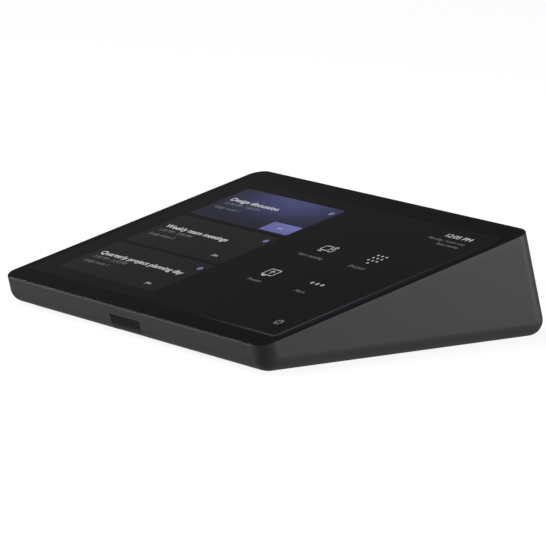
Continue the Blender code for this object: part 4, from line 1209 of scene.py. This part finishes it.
@dataclass
class Fasteners:
    """Screws seen from below, with rounded heads and six-sided drives."""

    steps: int = 48
    axis_gap: float = 0.02 * MM
    rounding: float = 0.45 * MM
    hexagon_share: float = 0.45
    hexagon_depth: float = 0.7 * MM
    slot_share: float = 1.5
    slot_width: float = 1.3 * MM
    slot_depth: float = 0.6 * MM

    def build(self, materials: dict[str, bpy.types.Material]) -> None:
        """Replace every screw that shows on the underside."""
        names = [name for name in frame["nodes"] if name.startswith(("base_screw", "clamp_screw"))]
        for name in sorted(names):
            self.screw(name, "root", 2.6 * MM, 1.0 * MM, 1.4 * MM, materials["screw_steel"])
        self.screw("cover_screw", "screw", 4.4 * MM, 1.1 * MM, 1.4 * MM, materials["screw_steel"],
                   slot_wide=True)

    def screw(self, name: str, body: str, head: float, rise: float, shank: float,
              material: bpy.types.Material, slot_wide: bool = False) -> None:
        """One screw, head down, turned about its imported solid's axis.

        Args:
            name: The node that it replaces.
            body: The body that it moves with.
            head: Radius of the head.
            rise: Height of the head.
            shank: Radius of the shank.
            material: Its finish.
            slot_wide: Give it a coin slot in place of a six-sided drive.
        """
        low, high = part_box(name)
        middle, length = (low + high) / 2, high.z - low.z
        outer = rounded_run([(self.axis_gap, 0), (head, 0), (head, rise), (shank, rise),
                             (shank, length - 0.4 * MM), (0.6 * shank, length), (self.axis_gap, length)],
                            self.rounding, 5)
        mesh = grid_mesh(name, lathe(outer, self.steps), caps=True)
        mesh.transform(Matrix.Translation((middle.x, middle.y, low.z)))
        tidy_mesh(mesh)
        piece = add_object("detail_" + name, mesh)
        drive = self.slot(head) if slot_wide else self.hexagon(head)
        drive.data.transform(Matrix.Translation((middle.x, middle.y, low.z)))
        carve(piece, [drive])
        tidy_mesh(piece.data)
        hand_over(piece, body, material, (name,))

    def hexagon(self, head: float) -> bpy.types.Object:
        """The tool for a six-sided drive."""
        radius = self.hexagon_share * head
        return closed_tool("drive", lathe(np.array([(radius, -1 * MM), (radius, self.hexagon_depth)]), 6))

    def slot(self, head: float) -> bpy.types.Object:
        """The tool for a coin slot."""
        points, _ = rounded_outline(self.slot_share * head, self.slot_width, 0.6 * MM, 6)
        return closed_tool("drive", np.array([lifted(points, z) for z in (-1 * MM, self.slot_depth)]))


@dataclass
class Inserts:
    """Brass mount inserts with a knurled rim and a threaded bore.

    The outside is a circle whose radius swings with a fine cosine round the
    turn, and the bore's radius swings with height and turn as a thread does.
    """

    knurls: int = 36
    steps: int = 144
    knurl_depth: float = 0.08 * MM
    chamfer: float = 0.25 * MM
    bore: float = 1.75 * MM
    thread_depth: float = 0.16 * MM
    pitch: float = 0.7 * MM
    flare: float = 0.3 * MM
    flare_height: float = 0.4 * MM

    def build(self, materials: dict[str, bpy.types.Material]) -> None:
        """Replace each insert."""
        for index in range(1, 5):
            name = f"mount_insert_{index}"
            low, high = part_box(name)
            middle, height, radius = (low + high) / 2, high.z - low.z, (high.x - low.x) / 2
            angle = np.linspace(0, 2 * np.pi, self.steps, endpoint=False)
            knurl = self.knurl_depth * np.cos(self.knurls * angle) - self.knurl_depth
            rows = []
            for z in np.linspace(0, height, 7):
                inside = self.chamfer if z in (0, height) else 0.0
                rows.append((radius - inside + knurl * (inside == 0), np.full(self.steps, z)))
            for z in np.linspace(height, 0, 46):
                thread = self.thread_depth * np.cos(2 * np.pi * z / self.pitch - angle) * (0 < z < height)
                flare = self.flare * max(0.0, 1 - z / self.flare_height)
                rows.append((self.bore + thread + flare, np.full(self.steps, z)))
            grid = np.array([np.stack([r * np.cos(angle), r * np.sin(angle), z], axis=1) for r, z in rows])
            grid += np.array([middle.x, middle.y, low.z])
            mesh = grid_mesh(name, grid, wrap_rows=True)
            tidy_mesh(mesh, sharp=60.0)
            hand_over(add_object("brass_" + name, mesh), "root", materials["insert_brass"],
                      (name,))


@dataclass
class Electronics:
    """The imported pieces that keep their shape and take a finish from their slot."""

    def build(self, materials: dict[str, bpy.types.Material]) -> None:
        """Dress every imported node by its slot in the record."""
        for row in frame["record"]["subparts"]:
            dress(frame["nodes"][row["node"]], materials[row["material_slot"]])
            LOG.info("node %s in %s", row["node"], row["material_slot"])


# ---------------------------------------------------------------- studio


@dataclass(frozen=True)
class FloorPaper(Finish):
    """Paper that only the camera sees, and only from above.

    It glows by itself outside a rectangle under the object, which is left dark
    as a painted shadow: the glow is a smooth step of the larger of |x| and |y|,
    each over its half size.
    """

    painted_shadow_half_size: tuple[float, float] = (0.1, 0.1)
    soft_from: float = 0.96
    glow: float = 0.90
    roughness: float = 0.9

    def build(self) -> bpy.types.Material:
        """Make the material."""
        made, wire, shader, where = self.start()
        fibres = wire.noise(where, 900.0, 4.0, 0.7)
        paper = wire.mix(fibres, self.shade(0.26), self.shade(0.30))
        wire.feed(shader, Base_Color=paper, Roughness=self.roughness)
        spot = wire.node("ShaderNodeSeparateXYZ", Vector=where)
        reach = [wire.math("DIVIDE", wire.math("ABSOLUTE", spot.outputs[axis]), half)
                 for axis, half in zip("XY", self.painted_shadow_half_size)]
        # painted shadow: the glow fades to none inside the rectangle under the object
        glow_outside_painted_shadow = wire.span(wire.math("MAXIMUM", *reach), self.soft_from, 1.0, 0.0, self.glow)
        glow = wire.node("ShaderNodeEmission", Color=(1, 1, 1, 1), Strength=glow_outside_painted_shadow)
        sheet = wire.node("ShaderNodeAddShader", at_0=shader.outputs[0], at_1=glow.outputs[0])
        straight = wire.node("ShaderNodeLightPath").outputs["Is Camera Ray"]
        below = wire.node("ShaderNodeNewGeometry").outputs["Backfacing"]
        shown = wire.math("MULTIPLY", straight, wire.math("SUBTRACT", 1.0, below))
        clear = wire.node("ShaderNodeBsdfTransparent")
        mixed = wire.node("ShaderNodeMixShader", at_0=shown, at_1=clear.outputs[0], at_2=sheet.outputs[0])
        wire.feed(made.node_tree.nodes["Material Output"], Surface=mixed.outputs[0])
        return made


@dataclass
class Studio:
    """Floor, sky, lights and camera."""

    azimuth: float = 55.41
    elevation: float = 10.20
    distance: float = 2.36
    lens: float = 303.3
    sensor: float = 36.0
    aim: tuple[float, float, float] = (0.0117, -0.0062, 0.0272)
    floor_radius: float = 14.0
    floor_drop: float = 0.2 * MM
    unlit_share: float = 0.88
    ambient: float = 0.055
    bounce: float = 0.28

    def direction(self, azimuth: float, elevation: float) -> Vector:
        """The unit vector towards a place round the object; azimuth 0 is the user's side, 90 the right."""
        a, e = math.radians(azimuth), math.radians(elevation)
        return Vector((math.sin(a) * math.cos(e), -math.cos(a) * math.cos(e), math.sin(e)))

    def build(self) -> None:
        """Set everything up."""
        self.camera()
        self.floor()
        self.sky()
        self.softbox("overhead", (-15, 66), 1.8, (1.4, 1.0), 13.0, mirrored=False)
        self.softbox("front_left", (-52, 7), 2.2, (0.9, 0.4), 19.5)
        self.softbox("back_right", (136, 7), 3.6, (1.5, 0.65), 56.0)
        view = bpy.context.scene.view_settings
        view.view_transform = "Standard"
        view.look = "None"

    def camera(self) -> None:
        """The camera, level, at its angle and distance from the aim point."""
        data = bpy.data.cameras.new("camera")
        data.lens = self.lens
        data.sensor_width = self.sensor
        data.clip_start = 0.1
        data.clip_end = 100.0
        spot = self.azimuth, self.elevation
        bpy.context.scene.camera = self.stand("camera", data, spot, self.aim, self.distance)

    def stand(self, name: str, data: bpy.types.ID, spot: tuple[float, float],
              target: tuple[float, float, float], distance: float) -> bpy.types.Object:
        """Stand a camera or a light round a target, turned to face it.

        Args:
            name: Its name.
            data: The camera or light.
            spot: Azimuth and elevation, in degrees.
            target: The point that it faces.
            distance: From the target.

        Returns:
            The object.
        """
        made = add_object(name, data)
        back = self.direction(*spot)
        made.location = Vector(target) + back * distance
        made.rotation_mode = "QUATERNION"
        made.rotation_quaternion = (-back).to_track_quat("-Z", "Y")
        return made

    def floor(self) -> None:
        """A wide pale sheet of paper; the sky below the horizon does its lighting.

        The ring's inner edge is hidden under the object.
        """
        rings = lathe(np.array([(0.01, -self.floor_drop), (self.floor_radius, -self.floor_drop)]), 64)
        piece = add_object("floor", grid_mesh("floor", rings[::-1]))
        # the floor's painted shadow: a rectangle under the object, a share of its box
        painted_shadow_half_size = CAD_BOX[1].x * self.unlit_share, CAD_BOX[1].y * self.unlit_share
        dress(piece, FloorPaper("floor_paper", (1.0, 1.0, 1.0), painted_shadow_half_size).build())

    def sky(self) -> None:
        """Pale where the camera sees it; for the object, dim above and brighter below, as paper would be."""
        world = bpy.data.worlds.new("studio")
        bpy.context.scene.world = world
        world.use_nodes = True
        wire = Wiring(world.node_tree)
        dim = world.node_tree.nodes["Background"]
        direction = wire.node("ShaderNodeTexCoord").outputs["Generated"]
        height = wire.node("ShaderNodeSeparateXYZ", Vector=direction).outputs["Z"]
        level = wire.span(height, -0.06, 0.02, self.bounce, self.ambient)
        wire.feed(dim, Strength=level, Color=(1.0, 1.0, 1.0, 1.0))
        pale = wire.node("ShaderNodeBackground", Color=(1.0, 1.0, 1.0, 1.0), Strength=1.0)
        straight = wire.node("ShaderNodeLightPath").outputs["Is Camera Ray"]
        mixed = wire.node("ShaderNodeMixShader", at_0=straight, at_1=dim.outputs[0], at_2=pale.outputs[0])
        wire.feed(world.node_tree.nodes["World Output"], Surface=mixed.outputs[0])

    def softbox(self, name: str, spot: tuple[float, float], distance: float, size: tuple[float, float],
                power: float, mirrored: bool = True) -> None:
        """A soft light that faces the object.

        Args:
            name: Its name.
            spot: Azimuth and elevation, in degrees.
            distance: From the object.
            size: Width and height.
            power: In watts.
            mirrored: Whether glossy surfaces show it.
        """
        data = bpy.data.lights.new(name, "AREA")
        data.shape = "RECTANGLE"
        data.size, data.size_y = size
        data.energy = power
        self.stand(name, data, spot, (0, 0, 0.03), distance).visible_glossy = mirrored


def main() -> None:
    """Build the controller's looks and the studio."""
    logging.basicConfig(level=logging.INFO, format="%(name)s: %(message)s")
    Studio().build()
    build_groups()
    materials = build_slot_finishes()
    deck = Deck.from_frame()
    wedge = Wedge(deck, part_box("base_plate")[0].z)
    Electronics().build(materials)
    window = SensorWindow(wedge)
    Housing(wedge).build(materials, [window.cutter(), *RearOpenings(wedge).tools()])
    window.build(materials)
    CoverGlass(wedge).build(materials)
    Screen(deck).build()
    Feet().build(materials)
    Fasteners().build(materials)
    Inserts().build(materials)


if __name__ == "__main__":
    main()
